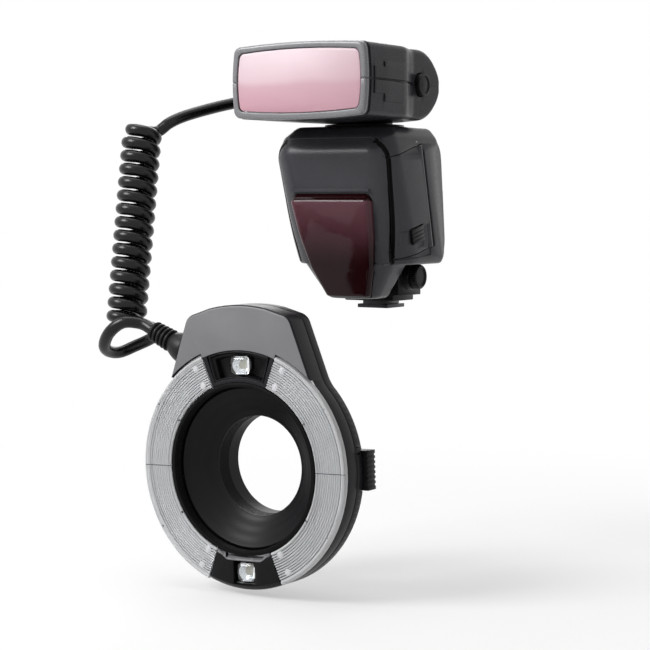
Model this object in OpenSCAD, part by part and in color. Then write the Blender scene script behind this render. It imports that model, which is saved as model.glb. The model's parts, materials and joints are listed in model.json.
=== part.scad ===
// Macro ring flash: a control unit on a hot shoe foot, a curly cord and a ring head.
// X is to the right, Y to the back and Z up. The origin is the middle of the foot's underside.

/* [Hot shoe foot] */
// Width of the shoe plate
plate_w = 18.6; // [17:0.1:20]
// Length of the shoe plate, front to back
plate_l = 18; // [16:0.5:20]
// Thickness of the shoe plate
plate_t = 2; // [1.6:0.1:3]
// Height of the gap that takes the shoe's rails
rail_gap = 2; // [1.6:0.1:3]
// Width of the stem between the rails
stem_w = 12; // [11:0.1:12.4]
// Width of the foot block
block_w = 38; // [34:1:42]
// Depth of the foot block
block_l = 24; // [22:1:26]
// Radius of the lock knob's disc
knob_r = 6.5; // [5:0.1:7.5]
// Thickness of the lock knob's disc
knob_t = 4; // [2.5:0.1:6]
// Height of the lock knob above the foot's underside
knob_z = 17; // [16:0.1:18]
// Radius of the lock pin
pin_r = 1; // [0.8:0.05:1.3]
// Travel of the lock pin
pin_travel = 1.2; // [0.8:0.1:1.5]

/* [Control unit] */
// Width of the control unit
body_w = 73; // [68:1:80]
// Wall thickness of the mouldings
wall = 2.2; // [1.8:0.1:2.6]
// Height of the body's floor
body_floor = 24; // [22:0.5:25]
// Height of the body's top
body_top = 95.5; // [94:0.5:99]
// Height of the shoulder, where the front bends back to the top
shoulder_z = 86; // [83:0.5:88]
// Distance of the shoulder ahead of the foot's middle
shoulder_front = 56; // [53:0.5:59]
// Distance of the back behind the foot's middle, at the shoulder
shoulder_back = 6.7; // [6:0.1:7.5]
// Distance of the back behind the foot's middle, at the belly
belly_back = 10.2; // [9.6:0.1:11]
// Height of the belly, where the front starts to draw in
belly_z = 43; // [41:0.5:45]
// Distance of the belly ahead of the foot's middle
belly_front = 47; // [46:0.5:48]
// Width of the assist lamp window at its top
window_w = 48; // [44:0.5:50]
// Height of the assist lamp window's top edge
window_top = 57; // [54:0.5:60]
// How far the assist lamp window stands out at its top
window_proud = 4; // [2:0.1:5]
// Width of the display window
display_w = 48; // [40:1:50]
// Height of the display window
display_h = 23; // [18:0.5:25]
// Width of a soft key
soft_key_w = 10; // [8:0.2:11]
// Height of a soft key
soft_key_h = 5; // [4:0.2:6]
// Radius of the round keys
round_key_r = 4; // [3:0.1:4.6]
// Travel of every key
key_travel = 0.8; // [0.4:0.1:1]
// Outer radius of the control dial
dial_r = 10; // [9:0.1:10.4]
// Thickness of the control dial
dial_t = 2.6; // [2:0.1:3.5]
// Radius of the set key in the dial
set_key_r = 4.2; // [3.4:0.1:4.6]
// Width of the power switch
switch_w = 7; // [5:0.1:8]
// Height of the power switch
switch_h = 4; // [3:0.1:5]
// Travel of the power switch
switch_travel = 4.5; // [3:0.1:5]

/* [Battery bay] */
// Diameter of a cell
cell_d = 14; // [13.5:0.1:14.2]
// Length of a cell
cell_l = 50; // [48:0.5:51]
// Width of the battery door, across its hinge
door_w = 28.4; // [27:0.1:30]
// Length of the battery door, along its hinge
door_l = 54; // [50:1:56]
// Radius of the door's hinge barrel
barrel_r = 3.3; // [3:0.1:3.6]
// Radius of the door's hinge pin
hinge_pin_r = 1; // [0.8:0.05:1.3]
// Travel of the door latch
latch_travel = 3; // [2:0.1:4]

/* [Flash head] */
// Width of the head
head_w = 78; // [74:1:82]
// How far the pivot cheeks stand in from the head's sides
cheek_step = 5; // [4:0.5:7]
// Height of the tilt axis above the foot
tilt_z = 117; // [116.8:0.1:119]
// Distance of the tilt axis ahead of the foot's middle
tilt_front = 17.5; // [16:0.5:19]
// Radius of the head's round back
drum_r = 19.7; // [19:0.1:20]
// Distance of the head's front edge ahead of the tilt axis
head_reach = 61.5; // [58:0.5:66]
// Thickness of the bezel round the head's window
bezel_t = 3; // [2:0.1:4]
// Width of the bezel's border
bezel_border = 3.4; // [2.5:0.1:5]
// Width of the neck between the pivot cheeks
neck_w = 26; // [22:1:30]
// Radius of the tilt trunnions
trunnion_r = 6; // [5:0.1:6.6]
// Radius of the tilt release button
tilt_button_r = 6; // [5:0.1:6.4]
// Travel of the tilt release button
tilt_button_travel = 2; // [1:0.1:2.4]
// Radius of the swivel spigot
spigot_r = 15; // [13:0.5:16]

/* [Ring head] */
// Height of the ring's axis below the foot
ring_drop = 72; // [70:1:76]
// Distance of the ring's front ahead of the foot's middle
ring_front = 132; // [128:1:136]
// Turn of the ring about its own axis as it hangs, to the left at the top
ring_roll = 2; // [0:0.5:4]
// Depth of the ring head
ring_depth = 28; // [27.6:0.1:30]
// Outer radius of the ring head
ring_r = 58.8; // [58:0.1:60]
// Radius of the passage through the ring
bore_r = 40; // [39.6:0.1:40.4]
// Height of the hump's top above the ring's axis
hump_top = 79.5; // [77:0.5:84]
// Half width of the hump at its shoulders
hump_half = 33.5; // [31:0.5:35]
// Depth of the front cover
cover_d = 11.6; // [11.4:0.1:12]
// Half angle of the lamp trims between the two lenses
trim_half = 21.5; // [20:0.5:24]
// Thickness of the ring lenses
lens_t = 3; // [2.4:0.1:3.4]
// Concentric ribs on each ring lens
lens_ribs = 9; // [5:1:14]
// Radius of the flash tubes
tube_r = 2.3; // [1.8:0.1:2.6]
// Width of the focusing lamps' lenses
lamp_w = 10.5; // [8:0.1:11]
// Height of the focusing lamps' lenses
lamp_h = 9; // [7:0.1:9.2]
// Radius of the lens adapter's male thread
thread_r = 26; // [25:0.5:27]
// Length of the lens adapter's male thread
thread_l = 5; // [4:0.5:8]
// Travel of the release buttons
release_travel = 1.8; // [1.4:0.1:2]

/* [Curly cord] */
// Diameter of the cord
cord_d = 6.2; // [4.5:0.1:6.4]
// Radius of the curls at the middle of the cord
curl_r = 7.3; // [6.5:0.1:8]
// Length of the strain reliefs
boot_l = 14; // [10:0.5:15]
// Ribs on each strain relief
boot_ribs = 5; // [3:1:6]

/* [Hidden] */
$fn = 64;

// Clearances: between fixed pieces, round moving fits, and other moving pieces
fixed_gap = 0.15;
running_gap = 0.06;
moving_gap = 0.3;
past = 1; // how far a cut runs past the face that it opens
arc_steps = 6;

hw = body_w / 2;
hull_fn = 32;

// The back of the body is a plane that leans forward as it rises
rear_lean = atan((belly_back - shoulder_back) / (shoulder_z - belly_z));
function back_at(z) = belly_back - (z - belly_z) * tan(rear_lean);

// Sections of the body: height, half width, front, back, front corner radius, back corner radius
skirt_h = 6; // height of the drawn-in edge above the floor
skirt_in = 2.5;
crown_in = 7.5;
floor_front = belly_front - 7;
body_sections = [
    [body_floor, hw - skirt_in, -floor_front, back_at(body_floor) - skirt_in, 18, 6],
    [body_floor + skirt_h, hw, -floor_front - skirt_in, back_at(body_floor + skirt_h), 22, 8],
    [belly_z, hw, -belly_front, belly_back, 20, 8],
    [shoulder_z, hw, -shoulder_front, shoulder_back, 12.5, 8],
    [body_top, hw - crown_in, crown_in + 3.5 - shoulder_front, shoulder_back - 3, 9, 6]];

// The nose under the body carries the lower end of the assist window
nose_bottom = 6;
nose_back = -17;
nose_sections = [
    [nose_bottom, 15, 6 - floor_front, nose_back, 8, 3],
    [body_floor, 27, -floor_front - 1, nose_back, 11, 3]];

// Sections of the assist window, from the bottom up
window_depth = 8;
function front_at(z) =
    -belly_front - (z - belly_z) * (shoulder_front - belly_front) / (shoulder_z - belly_z);
window_half = window_w / 2;
window_sections = [
    [nose_bottom + 1, window_half - 11, 4.4 - floor_front, window_depth + 4.4 - floor_front, 3, 1],
    [body_floor - 2, window_half - 5, -floor_front - 2, window_depth - 2 - floor_front, 3, 1],
    [belly_z - 3, window_half - 1.5, -belly_front - 1.5, window_depth - 1.5 - belly_front, 3, 1],
    [window_top, window_half, front_at(window_top) - window_proud,
        front_at(window_top) - window_proud + window_depth, 3, 1],
    [window_top + window_proud, window_half - 2, front_at(window_top) - 0.3,
        front_at(window_top) + window_depth - window_proud, 2, 1]];
window_wall = 1.6;

// The seam between the front shell and the door leans like the front does
seam_y = -40.5;
seam_lean = 13.5;
seam_gap = 0.3;

// The door's hinge axis lies in the seam's leaning frame, along its Z
hinge_x = hw - barrel_r;
hinge_y = door_w + 0.2;
door_low = -17;
door_high = door_low + door_l;
lug_l = 2.2;
pin_end = 2;

// Battery bay, in the same leaning frame
cell_pitch = cell_d + 0.4;
bay_bore_r = cell_d / 2 + 0.1;
tray_wall = 1;
tray_y = 14.5; // middle of the bay
contact_t = 0.8;
tray_half = bay_bore_r + tray_wall;
tray_low = -18.4;
tray_h = 3 * cell_pitch + 2 * tray_half;
cell_out = hw - 5.5; // outer end of the cells
tray_back = cell_out - cell_l - 2.2;
function cell_z(i) = tray_low + tray_half + i * cell_pitch;

// Rear controls, in the frame of the rear panel
display_z = 30;
soft_key_z = 12.5;
dial_z = -2;
side_key_x = 20;
side_key_z = 2;
switch_x = 16;
switch_z = -8.5;
board_y = -6; // front of the main board, from the rear panel's face
board_t = 1.6;
key_proud = 1.2;
key_flange = 0.7;
key_flange_t = 0.8;
dial_boss_r = set_key_r + moving_gap + 1.2;
dial_lip = 0.7;

// Foot and lock
block_y = -2; // middle of the foot block
block_low = plate_t + rail_gap;
knob_y = -4;
knob_shaft_r = 2.5;
knob_boss_l = 4;
lock_pin_x = 4;
lock_pin_y = -4;
pin_head_r = 2.2;
pin_head_t = 1.2;
cam_r = 3.2;
cam_t = 5;
cam_shift = pin_travel;
knob_face = block_w / 2 + knob_boss_l + moving_gap;

// Head: the tilt axis is its reference
tilt_y = -tilt_front;
head_hw = head_w / 2;
cheek_hw = head_hw - cheek_step;
head_front = tilt_y - head_reach;
head_low = tilt_z - drum_r;
step_y = tilt_y - 18; // where the wide front box steps in to the cheeks
head_bulge = 1.4; // how far the ends bow out at mid height
head_crown = 1.6; // how far the top and the bottom bow out
neck_hw = neck_w / 2;
neck_r = drum_r - 0.4;
neck_stem_half = 7.5;
cheek_gap = 0.4;
collar_r = 21;
collar_low = body_top + moving_gap;
collar_top = head_low - 0.4;
swept_r = norm([neck_stem_half, tilt_z - collar_top]) + 0.4; // room for the neck as the head tilts
trunnion_end = cheek_hw - 6;
cable_r = 3.4;
spigot_low = body_top - 4.8;
retainer_r = spigot_r + 3;
retainer_t = 1.5;
top_boss_low = spigot_low + moving_gap;
part_gap = 0.1; // half of the gap between the head's two shells
gland_r = 5;
gland_out = cheek_hw + 2;
tilt_button_in = cheek_hw - 3;
tilt_button_out = cheek_hw + 2.5;
capacitor_r = 9;
capacitor_l = head_w - 24;
capacitor_y = tilt_y - 34;
head_reflector_d = 15;
head_tube_r = 2.5;

// Ring: its own frame has Z to the front, Y up and the ring's back at Z = 0
ring_y = ring_depth - ring_front;
ring_z = -ring_drop;
cover_low = ring_depth - 0.4 - cover_d;
face_z = ring_depth - 0.5;
lens_low = ring_depth - lens_t;
seat_z = lens_low;
cover_floor = seat_z - wall;
sleeve_t = 2;
sleeve_r = bore_r + sleeve_t;
lens_in = sleeve_r + 0.5;
lens_out = ring_r + 0.1;
hump_shoulder = 65;
hump_angle = 22;
hump_meet_y = 41.5; // where the hump's sides meet the ring
hump_meet = sqrt(pow(ring_r, 2) - pow(hump_meet_y, 2));
hump_foot_y = hump_meet_y - 5; // its sides run on into the ring
hump_foot = hump_meet + 5 * (hump_meet - hump_half) / (hump_shoulder - hump_meet_y);
hump_low = 9.5;
trough_in = sleeve_r + 2.4;
trough_out = ring_r - 3.4;
trough_t = 0.8;
board_low = hump_low + wall + 0.1;
ring_board_t = 1.4;
trough_low = board_low + ring_board_t + 0.3;
tube_z = trough_low + trough_t + 0.1 + tube_r;
tube_mid_r = (trough_in + trough_out) / 2;
lamp_mid_r = (lens_in + lens_out) / 2 - 0.5;
lamp_floor = cover_floor - 1.2;
trim_t = 1.4;
pocket_half = 15.5; // half angle of the lower trim's pocket
top_pocket_half = 18.8; // half angle of the upper trim's pocket
pocket_in = sleeve_r + 2;
pocket_out = ring_r - 1.6;
low_pocket_out = pocket_out - 1.6;
post_r = 3;
post_low = (ring_r - 6.1) * [sin(19), -cos(19)]; // lower screw posts, to each side
post_high = [22, 64]; // upper screw posts, to each side
screw_r = 0.9;
screw_head_r = 1.7;

// Release buttons: each reaches round the bore to a catch on the far side
button_in = ring_r - 6.8;
button_out = ring_r + 2.7;
button_half = 9.5;
button_low = 4;
button_high = 11;
yoke_in = sleeve_r + 2.6;
yoke_out = yoke_in + 3;
yoke_low = 4;
yoke_high = 7;
yoke_angle = 8;
catch_half = 1.5;
catch_y = yoke_in * sin(yoke_angle);
adapter_r = bore_r - 0.4;
rim_cone = 2.6; // depth of the rim's conical back edge
rim_low = 6.5;
catch_tip = adapter_r - 1.1;
catch_low = 2.9;
catch_high = 4.9;
adapter_in = thread_r - 1.4;
adapter_high = face_z - 6;
dish_low = adapter_high - 9.5;

// The gland of the cord on the ring's hump
gland_at = [-36.5, 56, 17];
gland_turn = 155;
ring_gland_l = 11;
ring_gland_r = 6.2;
ring_gland_neck = 5;

// Cord: route points of the free stretches, and the coil's axis from top to bottom
cord_sides = 8;
curl_sides = 6;
curl_steps = 8;
curls = 14.6;
coil_top = [-89, -93, 95];
coil_bottom = [-84, -114, -5];
coil_start = 143; // angle of the first curl's start round the coil's axis
head_exit = [-gland_out - boot_l, tilt_y, tilt_z];
boot_dir = [cos(gland_turn + ring_roll), 0, sin(gland_turn + ring_roll)];
gland_root = [gland_at.x * cos(ring_roll) - gland_at.y * sin(ring_roll), ring_y - gland_at.z,
    ring_z + gland_at.x * sin(ring_roll) + gland_at.y * cos(ring_roll)];
boot_tip = gland_root + (ring_gland_l + boot_l) * boot_dir;
upper_route = [head_exit - [6, 0, 0], head_exit - [13, 4.5, 2], [-69, -32, 111], [-75, -46, 107.5],
    [-80, -59, 104], [-84, -67.5, 101], [-87.5, -73, 97.8]];
lower_route = [[-76, -98.5, -11.5], [-81.5, -97.5, -14.5], [-88, -101.5, -18], [-93, -108, -21],
    [-94, -116, -20], [-91, -123, -16], [-84, -127, -9], [-76.5, -125.5, -4]];

function unit(v) = v / norm(v);

// Points of an arc that rounds the corner b between a and c
function corner_arc(a, b, c, r) =
    let (u = unit(a - b), v = unit(c - b), half = acos(u * v) / 2)
    let (o = b + unit(u + v) * r / sin(half), s = b + u * r / tan(half) - o,
        e = b + v * r / tan(half) - o)
    let (from = atan2(s.y, s.x), turn = (atan2(e.y, e.x) - from + 540) % 360 - 180)
    [for (k = [0 : arc_steps])
        o + r * [cos(from + turn * k / arc_steps), sin(from + turn * k / arc_steps)]];

// An outline of points [x, y, corner radius] with its corners rounded
function rounded(p) = [for (i = [0 : len(p) - 1])
    let (a = p[(i + len(p) - 1) % len(p)], b = p[i], c = p[(i + 1) % len(p)])
    each corner_arc([a.x, a.y], [b.x, b.y], [c.x, c.y], b.z)];

function arc(r, from, to, n) =
    [for (k = [0 : n]) let (a = from + (to - from) * k / n) r * [cos(a), sin(a)]];

module section(s, z, d) {
    for (side = [-1, 1]) {
        r_front = max(s[4] - d, 0.6);
        r_back = max(s[5] - d, 0.6);
        translate([side * (s[1] - d - r_front), s[2] + d + r_front, z])
            cylinder(r = r_front, h = 0.01, $fn = hull_fn);
        translate([side * (s[1] - d - r_back), s[3] - d - r_back, z])
            cylinder(r = r_back, h = 0.01, $fn = hull_fn);
    }
}

// A form hulled over its sections, drawn in by d all round
module sectioned(list, d) {
    last = len(list) - 1;
    hull() for (i = [0 : last]) {
        section(list[i], list[i][0] + (i == 0 ? d : i == last ? -d - 0.01 : 0), d);
    }
}

module body_solid(d) {
    sectioned(body_sections, d);
}

module seam_frame() {
    translate([0, seam_y, belly_z]) rotate([seam_lean, 0, 0]) children();
}

module rear_frame() {
    translate([0, belly_back, belly_z]) rotate([rear_lean, 0, 0]) children();
}

module along_x(x) {
    translate([x, 0, 0]) rotate([0, 90, 0]) children();
}

module hinge_axis() {
    translate([hinge_x, hinge_y, 0]) children();
}

// Everything in front of (side = -1) or behind (side = 1) the seam
module seam_side(side, gap) {
    seam_frame() translate([-body_w, side > 0 ? gap : -body_w - gap, -body_w])
        cube([2 * body_w, body_w, 2 * body_w]);
}

// The door's space; grow widens it for the opening that holds the door
module door_space(grow) {
    seam_frame() {
        intersection() {
            translate([20, -2, door_low - grow]) cube([hw, hinge_y + 2, door_l + 2 * grow]);
            hinge_axis() translate([0, 0, door_low - grow])
                cylinder(r = door_w + grow - seam_gap, h = door_l + 2 * grow);
        }
        hinge_axis() translate([0, 0, door_low - grow])
            cylinder(r = barrel_r + grow, h = door_l + 2 * grow);
        if (grow > 0) {
            hinge_axis() translate([0, 0, door_low - grow])
                cube([2 * barrel_r, barrel_r + grow, door_l + 2 * grow]);
        }
    }
}

module front_shell() color("#1d1d1f") difference() {
    union() {
        intersection() {
            difference() {
                body_solid(0);
                body_solid(wall);
            }
            seam_side(-1, 0);
        }
        difference() {
            sectioned(nose_sections, 0);
            sectioned([nose_sections[0], nose_sections[1] + [2 * wall, 0, 0, 0, 0, 0]], wall);
        }
    }
    sectioned(window_sections, -fixed_gap);
}

module hinge_lugs() {
    for (z = [door_low - lug_l - seam_gap, door_high + seam_gap]) {
        hinge_axis() translate([-barrel_r, -barrel_r, z]) cube([2 * barrel_r, 3 * barrel_r, lug_l]);
    }
}

module rear_openings() {
    translate([-display_w / 2 - fixed_gap, -wall - past, display_z - display_h / 2 - fixed_gap])
        cube([display_w + 2 * fixed_gap, wall + 2 * past, display_h + 2 * fixed_gap]);
    for (i = [0 : 3]) {
        translate([soft_key_x(i), 0, soft_key_z]) key_hole(soft_key_w, soft_key_h);
    }
    for (side = [-1, 1]) {
        translate([side * side_key_x, past, side_key_z]) rotate([90, 0, 0])
            cylinder(r = round_key_r + moving_gap, h = wall + 2 * past);
    }
    translate([switch_x + switch_travel / 2, 0, switch_z]) key_hole(switch_w + switch_travel, switch_h);
    translate([0, past + dial_t + dial_lip, dial_z]) rotate([90, 0, 0])
        cylinder(r = set_key_r + moving_gap, h = wall + dial_t + 3 * past);
}

module key_hole(w, h) {
    translate([-w / 2 - moving_gap, -wall - past, -h / 2 - moving_gap])
        cube([w + 2 * moving_gap, wall + 2 * past, h + 2 * moving_gap]);
}

function soft_key_x(i) = (i - 1.5) * (soft_key_w + 3);

board_post_x = hw - 7.5;
main_board_low = switch_z - 1.5;
main_board_high = display_z + display_h / 2 + 1.5;
board_posts = [for (x = [-board_post_x, board_post_x],
    z = [main_board_low + 2, main_board_high - 3]) [x, z]];

module rear_shell() color("#1b1b1d") difference() {
    union() {
        difference() {
            intersection() {
                difference() {
                    body_solid(0);
                    body_solid(wall);
                }
                seam_side(1, 0.1);
            }
            door_space(seam_gap);
        }
        intersection() {
            seam_frame() hinge_lugs();
            body_solid(0.1);
        }
        translate([0, tilt_y, top_boss_low])
            cylinder(r = retainer_r, h = body_top - wall - top_boss_low + 0.1);
        rear_frame() {
            for (p = board_posts) {
                translate([p.x, -wall + 0.1, p.y]) rotate([90, 0, 0])
                    cylinder(r = 2, h = -wall - board_y + 0.1);
            }
            translate([0, -wall, dial_z]) rotate([-90, 0, 0])
                cylinder(r = dial_boss_r, h = wall + dial_t + 2 * moving_gap);
            translate([0, dial_t + 2 * moving_gap, dial_z]) rotate([-90, 0, 0])
                cylinder(r = dial_boss_r + dial_lip, h = dial_lip);
        }
    }
    translate([0, tilt_y, top_boss_low - past]) cylinder(r = spigot_r + running_gap, h = body_top);
    rear_frame() rear_openings();
    sectioned(window_sections, -fixed_gap);
    seam_frame() hinge_axis() translate([0, 0, door_low - lug_l - pin_end])
        cylinder(r = hinge_pin_r + running_gap, h = door_l + 2 * lug_l + 2 * pin_end);
}

module assist_window() color("#3a1520") difference() {
    sectioned(window_sections, 0);
    translate([0, window_wall, 0]) sectioned(window_sections, window_wall);
    translate([0, 2 * window_wall + 0.5, 0]) sectioned(window_sections, window_wall);
}

// Two lamps and a sensor on a plate that stands on the battery tray's front
module assist_lamps() color("#c9c4c4") seam_frame() {
    plate_y = tray_y - tray_half - 1.5;
    translate([-13, plate_y, -8]) cube([26, 1.5, 14]);
    for (x = [-7.5, 7.5]) {
        translate([x, plate_y + 0.1, -1]) rotate([90, 0, 0]) cylinder(r1 = 4.5, r2 = 3.6, h = 4);
    }
    translate([0, plate_y + 0.1, -5]) rotate([90, 0, 0]) cylinder(r = 1.6, h = 2.5);
}

module battery_tray() color("#2c2c30") difference() {
    intersection() {
        seam_frame() translate([tray_back, tray_y - tray_half, tray_low])
            cube([cell_out - tray_back + 0.5, 2 * tray_half, tray_h]);
        body_solid(wall + fixed_gap);
    }
    seam_frame() for (i = [0 : 3]) {
        translate([0, tray_y, cell_z(i)]) along_x(cell_out - cell_l)
            cylinder(r = bay_bore_r, h = cell_l + 5);
    }
}

module battery_cells() color("#b5b7bb") seam_frame() for (i = [0 : 3]) {
    translate([0, tray_y, cell_z(i)]) {
        along_x(cell_out - cell_l) cylinder(r = cell_d / 2, h = cell_l - 1);
        along_x(cell_out - 1.1) cylinder(r = 2.7, h = 1.1);
    }
}

latch_z = door_low + 6;
latch_w = 12;
latch_h = 8;
latch_y = hinge_y - 13.5;
latch_depth = 1.3;

module battery_door() color("#252528") difference() {
    union() {
        intersection() {
            difference() {
                body_solid(0);
                body_solid(wall);
            }
            door_space(0);
        }
        seam_frame() hinge_axis() translate([0, 0, door_low]) cylinder(r = barrel_r, h = door_l);
    }
    seam_frame() {
        hinge_axis() translate([0, 0, door_low - past])
            cylinder(r = hinge_pin_r + running_gap, h = door_l + 2 * past);
        translate([hw - latch_depth, latch_y - latch_w / 2 - moving_gap,
            latch_z - latch_travel - moving_gap])
            cube([wall, latch_w + 2 * moving_gap, latch_h + latch_travel + 2 * moving_gap]);
    }
}

// The sliding thumb catch in the door's outer face
module door_latch() color("#1b1b1d") seam_frame() difference() {
    translate([hw - latch_depth + 0.1, latch_y - latch_w / 2, latch_z])
        cube([latch_depth + 0.5, latch_w, latch_h]);
    for (k = [0 : 2]) {
        translate([hw + 0.2, latch_y - latch_w, latch_z + 1.5 + 2 * k]) cube([past, 2 * latch_w, 1]);
    }
}

module door_contacts() color("#c8b273") seam_frame() {
    plate_x = hw - wall - contact_t - 0.4;
    for (pair = [0, 1]) {
        translate([plate_x, tray_y - 2.5, cell_z(2 * pair) - 3.5])
            cube([contact_t, 8.5, cell_pitch + 7]);
        for (i = [2 * pair, 2 * pair + 1]) {
            translate([0, tray_y, cell_z(i)]) along_x(cell_out + moving_gap)
                cylinder(r1 = 2.2, r2 = 3.6, h = plate_x - cell_out - moving_gap + 0.1);
        }
    }
}

module door_hinge_pin() color("#c9c9cc") seam_frame() hinge_axis() translate([0, 0, door_low - lug_l])
    cylinder(r = hinge_pin_r, h = door_l + 2 * lug_l);

module main_board() color("#1f5a3a") rear_frame() difference() {
    translate([-board_post_x - 2, board_y - board_t, main_board_low])
        cube([2 * board_post_x + 4, board_t, main_board_high - main_board_low]);
    for (p = board_posts) {
        translate([p.x, board_y + past, p.y]) rotate([90, 0, 0])
            cylinder(r = 0.8, h = board_t + 2 * past);
    }
}

module display_module() color("#8d9a84") rear_frame()
    translate([-display_w / 2 + 1, board_y, display_z - display_h / 2 + 1])
        cube([display_w - 2, -board_y - wall + 0.4, display_h - 2]);

module display_window() color("#3b4046") rear_frame()
    translate([-display_w / 2, 0.4 - wall, display_z - display_h / 2])
        cube([display_w, wall - 0.5, display_h]);

// A key: its cap, the flange that holds it behind the wall, and the stem over the board
module key_stem() {
    stem_low = board_y + key_travel + moving_gap;
    translate([0, stem_low, 0]) rotate([-90, 0, 0])
        cylinder(r = 1.4, h = -wall - moving_gap - stem_low);
}

module key_cap(w, h) {
    translate([-w / 2, -wall - moving_gap - 0.1, -h / 2])
        cube([w, wall + moving_gap + 0.1 + key_proud, h]);
    translate([-w / 2 - key_flange, -wall - moving_gap - key_flange_t, -h / 2 - key_flange])
        cube([w + 2 * key_flange, key_flange_t, h + 2 * key_flange]);
}

module soft_key(i) color("#2b2b2e") rear_frame() translate([soft_key_x(i), 0, soft_key_z]) {
    key_cap(soft_key_w, soft_key_h);
    key_stem();
}

module round_key(x, z, r, top) rear_frame() translate([x, 0, z]) {
    translate([0, -wall - moving_gap - 0.1, 0]) rotate([-90, 0, 0])
        cylinder(r = r, h = wall + moving_gap + top + 0.1);
    translate([0, -wall - moving_gap - key_flange_t, 0]) rotate([-90, 0, 0])
        cylinder(r = r + key_flange + moving_gap, h = key_flange_t);
    key_stem();
}

module soft_key_1() soft_key(0);

module soft_key_2() soft_key(1);

module soft_key_3() soft_key(2);

module soft_key_4() soft_key(3);

module mode_key() color("#2b2b2e") round_key(-side_key_x, side_key_z, round_key_r, key_proud);

module test_key() color("#7a1616") round_key(side_key_x, side_key_z, round_key_r, key_proud);

module set_key() color("#2b2b2e") round_key(0, dial_z, set_key_r, dial_t + 1.8);

module control_dial() color("#2f2f33") rear_frame() translate([0, moving_gap, dial_z])
    rotate([-90, 0, 0]) difference() {
    cylinder(r = dial_r, h = dial_t);
    translate([0, 0, -past]) cylinder(r = dial_boss_r + running_gap, h = dial_t + 2 * past);
    for (k = [0 : 29]) {
        rotate(12 * k) translate([dial_r + 0.3, 0, -past])
            cylinder(r = 0.7, h = dial_t + 2 * past, $fn = 16);
    }
}

module power_switch() color("#2b2b2e") rear_frame() translate([switch_x, 0, switch_z]) {
    key_cap(switch_w, switch_h);
}

foot_screws = [for (x = [-6.9, 6.9], y = [-6, 6.5]) [x, y]];
contact_places = [[0, 0, 1.3], [-4, -5, 0.9], [0, -7, 0.9], [-4, 5, 0.9], [4, 5, 0.9]];

module foot_plate() color("#3a3a3d") difference() {
    union() {
        translate([-plate_w / 2, -plate_l / 2, 0]) cube([plate_w, plate_l, plate_t]);
        translate([-stem_w / 2, -plate_l / 2, plate_t]) cube([stem_w, plate_l, rail_gap]);
    }
    translate([lock_pin_x, lock_pin_y, -past])
        cylinder(r = pin_r + running_gap, h = block_low + 2 * past);
    for (p = contact_places) {
        translate([p.x, p.y, -past]) cylinder(r = p.z, h = block_low + 2 * past);
    }
}

module foot_contacts() color("#cfc9b8") for (p = contact_places) {
    translate([p.x, p.y, 0]) cylinder(r = p.z - 0.05, h = block_low);
}

module foot_block() color("#17171a") difference() {
    union() {
        translate([-block_w / 2, block_y - block_l / 2, block_low + 3])
            cube([block_w, block_l, body_floor - block_low - 3]);
        translate([-block_w / 2 + 4, block_y - block_l / 2 + 1, block_low])
            cube([block_w - 8, block_l - 2, 4]);
        translate([0, knob_y, knob_z]) along_x(block_w / 2 - 1)
            cylinder(r = knob_r + 0.4, h = knob_boss_l + 1);
    }
    translate([lock_pin_x, lock_pin_y, block_low - past])
        cylinder(r = pin_r + running_gap, h = knob_z - block_low);
    translate([0, knob_y, knob_z]) along_x(lock_pin_x)
        cylinder(r = knob_shaft_r + running_gap, h = block_w);
    cam_room = cam_r + cam_shift + 0.5;
    translate([lock_pin_x - cam_t / 2 - 0.5, knob_y - cam_room,
        knob_z - cam_room - pin_travel - pin_head_t])
        cube([cam_t + 1, 2 * cam_room, 2 * cam_room + pin_travel + pin_head_t]);
}

// The disc, its shaft and the cam that drives the lock pin down
module lock_knob() color("#2a2a2d") translate([0, knob_y, knob_z]) difference() {
    union() {
        along_x(knob_face) cylinder(r = knob_r, h = knob_t);
        along_x(lock_pin_x + cam_t / 2 - 0.1) cylinder(r = knob_shaft_r, h = knob_face - lock_pin_x);
        translate([0, 0, cam_shift]) along_x(lock_pin_x - cam_t / 2) cylinder(r = cam_r, h = cam_t);
    }
    along_x(knob_face + knob_t - 0.6) cylinder(r = knob_r - 1.2, h = past);
}

module lock_pin() color("#c9c9cc") translate([lock_pin_x, lock_pin_y, 0]) {
    head_z = knob_z - cam_r + cam_shift - moving_gap - pin_head_t;
    translate([0, 0, 0.2]) cylinder(r = pin_r, h = head_z - 0.1);
    translate([0, 0, head_z]) cylinder(r = pin_head_r, h = pin_head_t);
}

module neck() color("#18181a") difference() {
    union() {
        translate([0, tilt_y, spigot_low]) cylinder(r = spigot_r, h = collar_top - spigot_low);
        translate([0, tilt_y, collar_low]) cylinder(r = collar_r, h = collar_top - collar_low);
        translate([-neck_hw, tilt_y - neck_stem_half, collar_top - 0.1])
            cube([neck_w, 2 * neck_stem_half, tilt_z - collar_top]);
        translate([0, tilt_y, tilt_z]) {
            along_x(-neck_hw) cylinder(r = neck_r, h = neck_w);
            along_x(-trunnion_end) cylinder(r = trunnion_r, h = 2 * trunnion_end);
        }
    }
    translate([0, tilt_y, spigot_low - past]) cylinder(r = 6, h = tilt_z - spigot_low + past);
    translate([0, tilt_y, tilt_z]) along_x(-trunnion_end - past)
        cylinder(r = cable_r, h = trunnion_end + neck_hw);
}

module swivel_retainer() color("#9a9a9e") translate([0, tilt_y, spigot_low - retainer_t]) difference() {
    cylinder(r = retainer_r, h = retainer_t);
    translate([0, 0, -past]) cylinder(r = 6, h = retainer_t + 2 * past);
}

// Outlines of the head, drawn in by d: from the side, from above and from the front
function head_side(d) = concat(
    [[head_front + d, head_low + d], [head_front + d, tilt_z + drum_r - d]],
    [for (p = arc(drum_r - d, 90, -90, 20)) [tilt_y, tilt_z] + p]);

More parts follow.
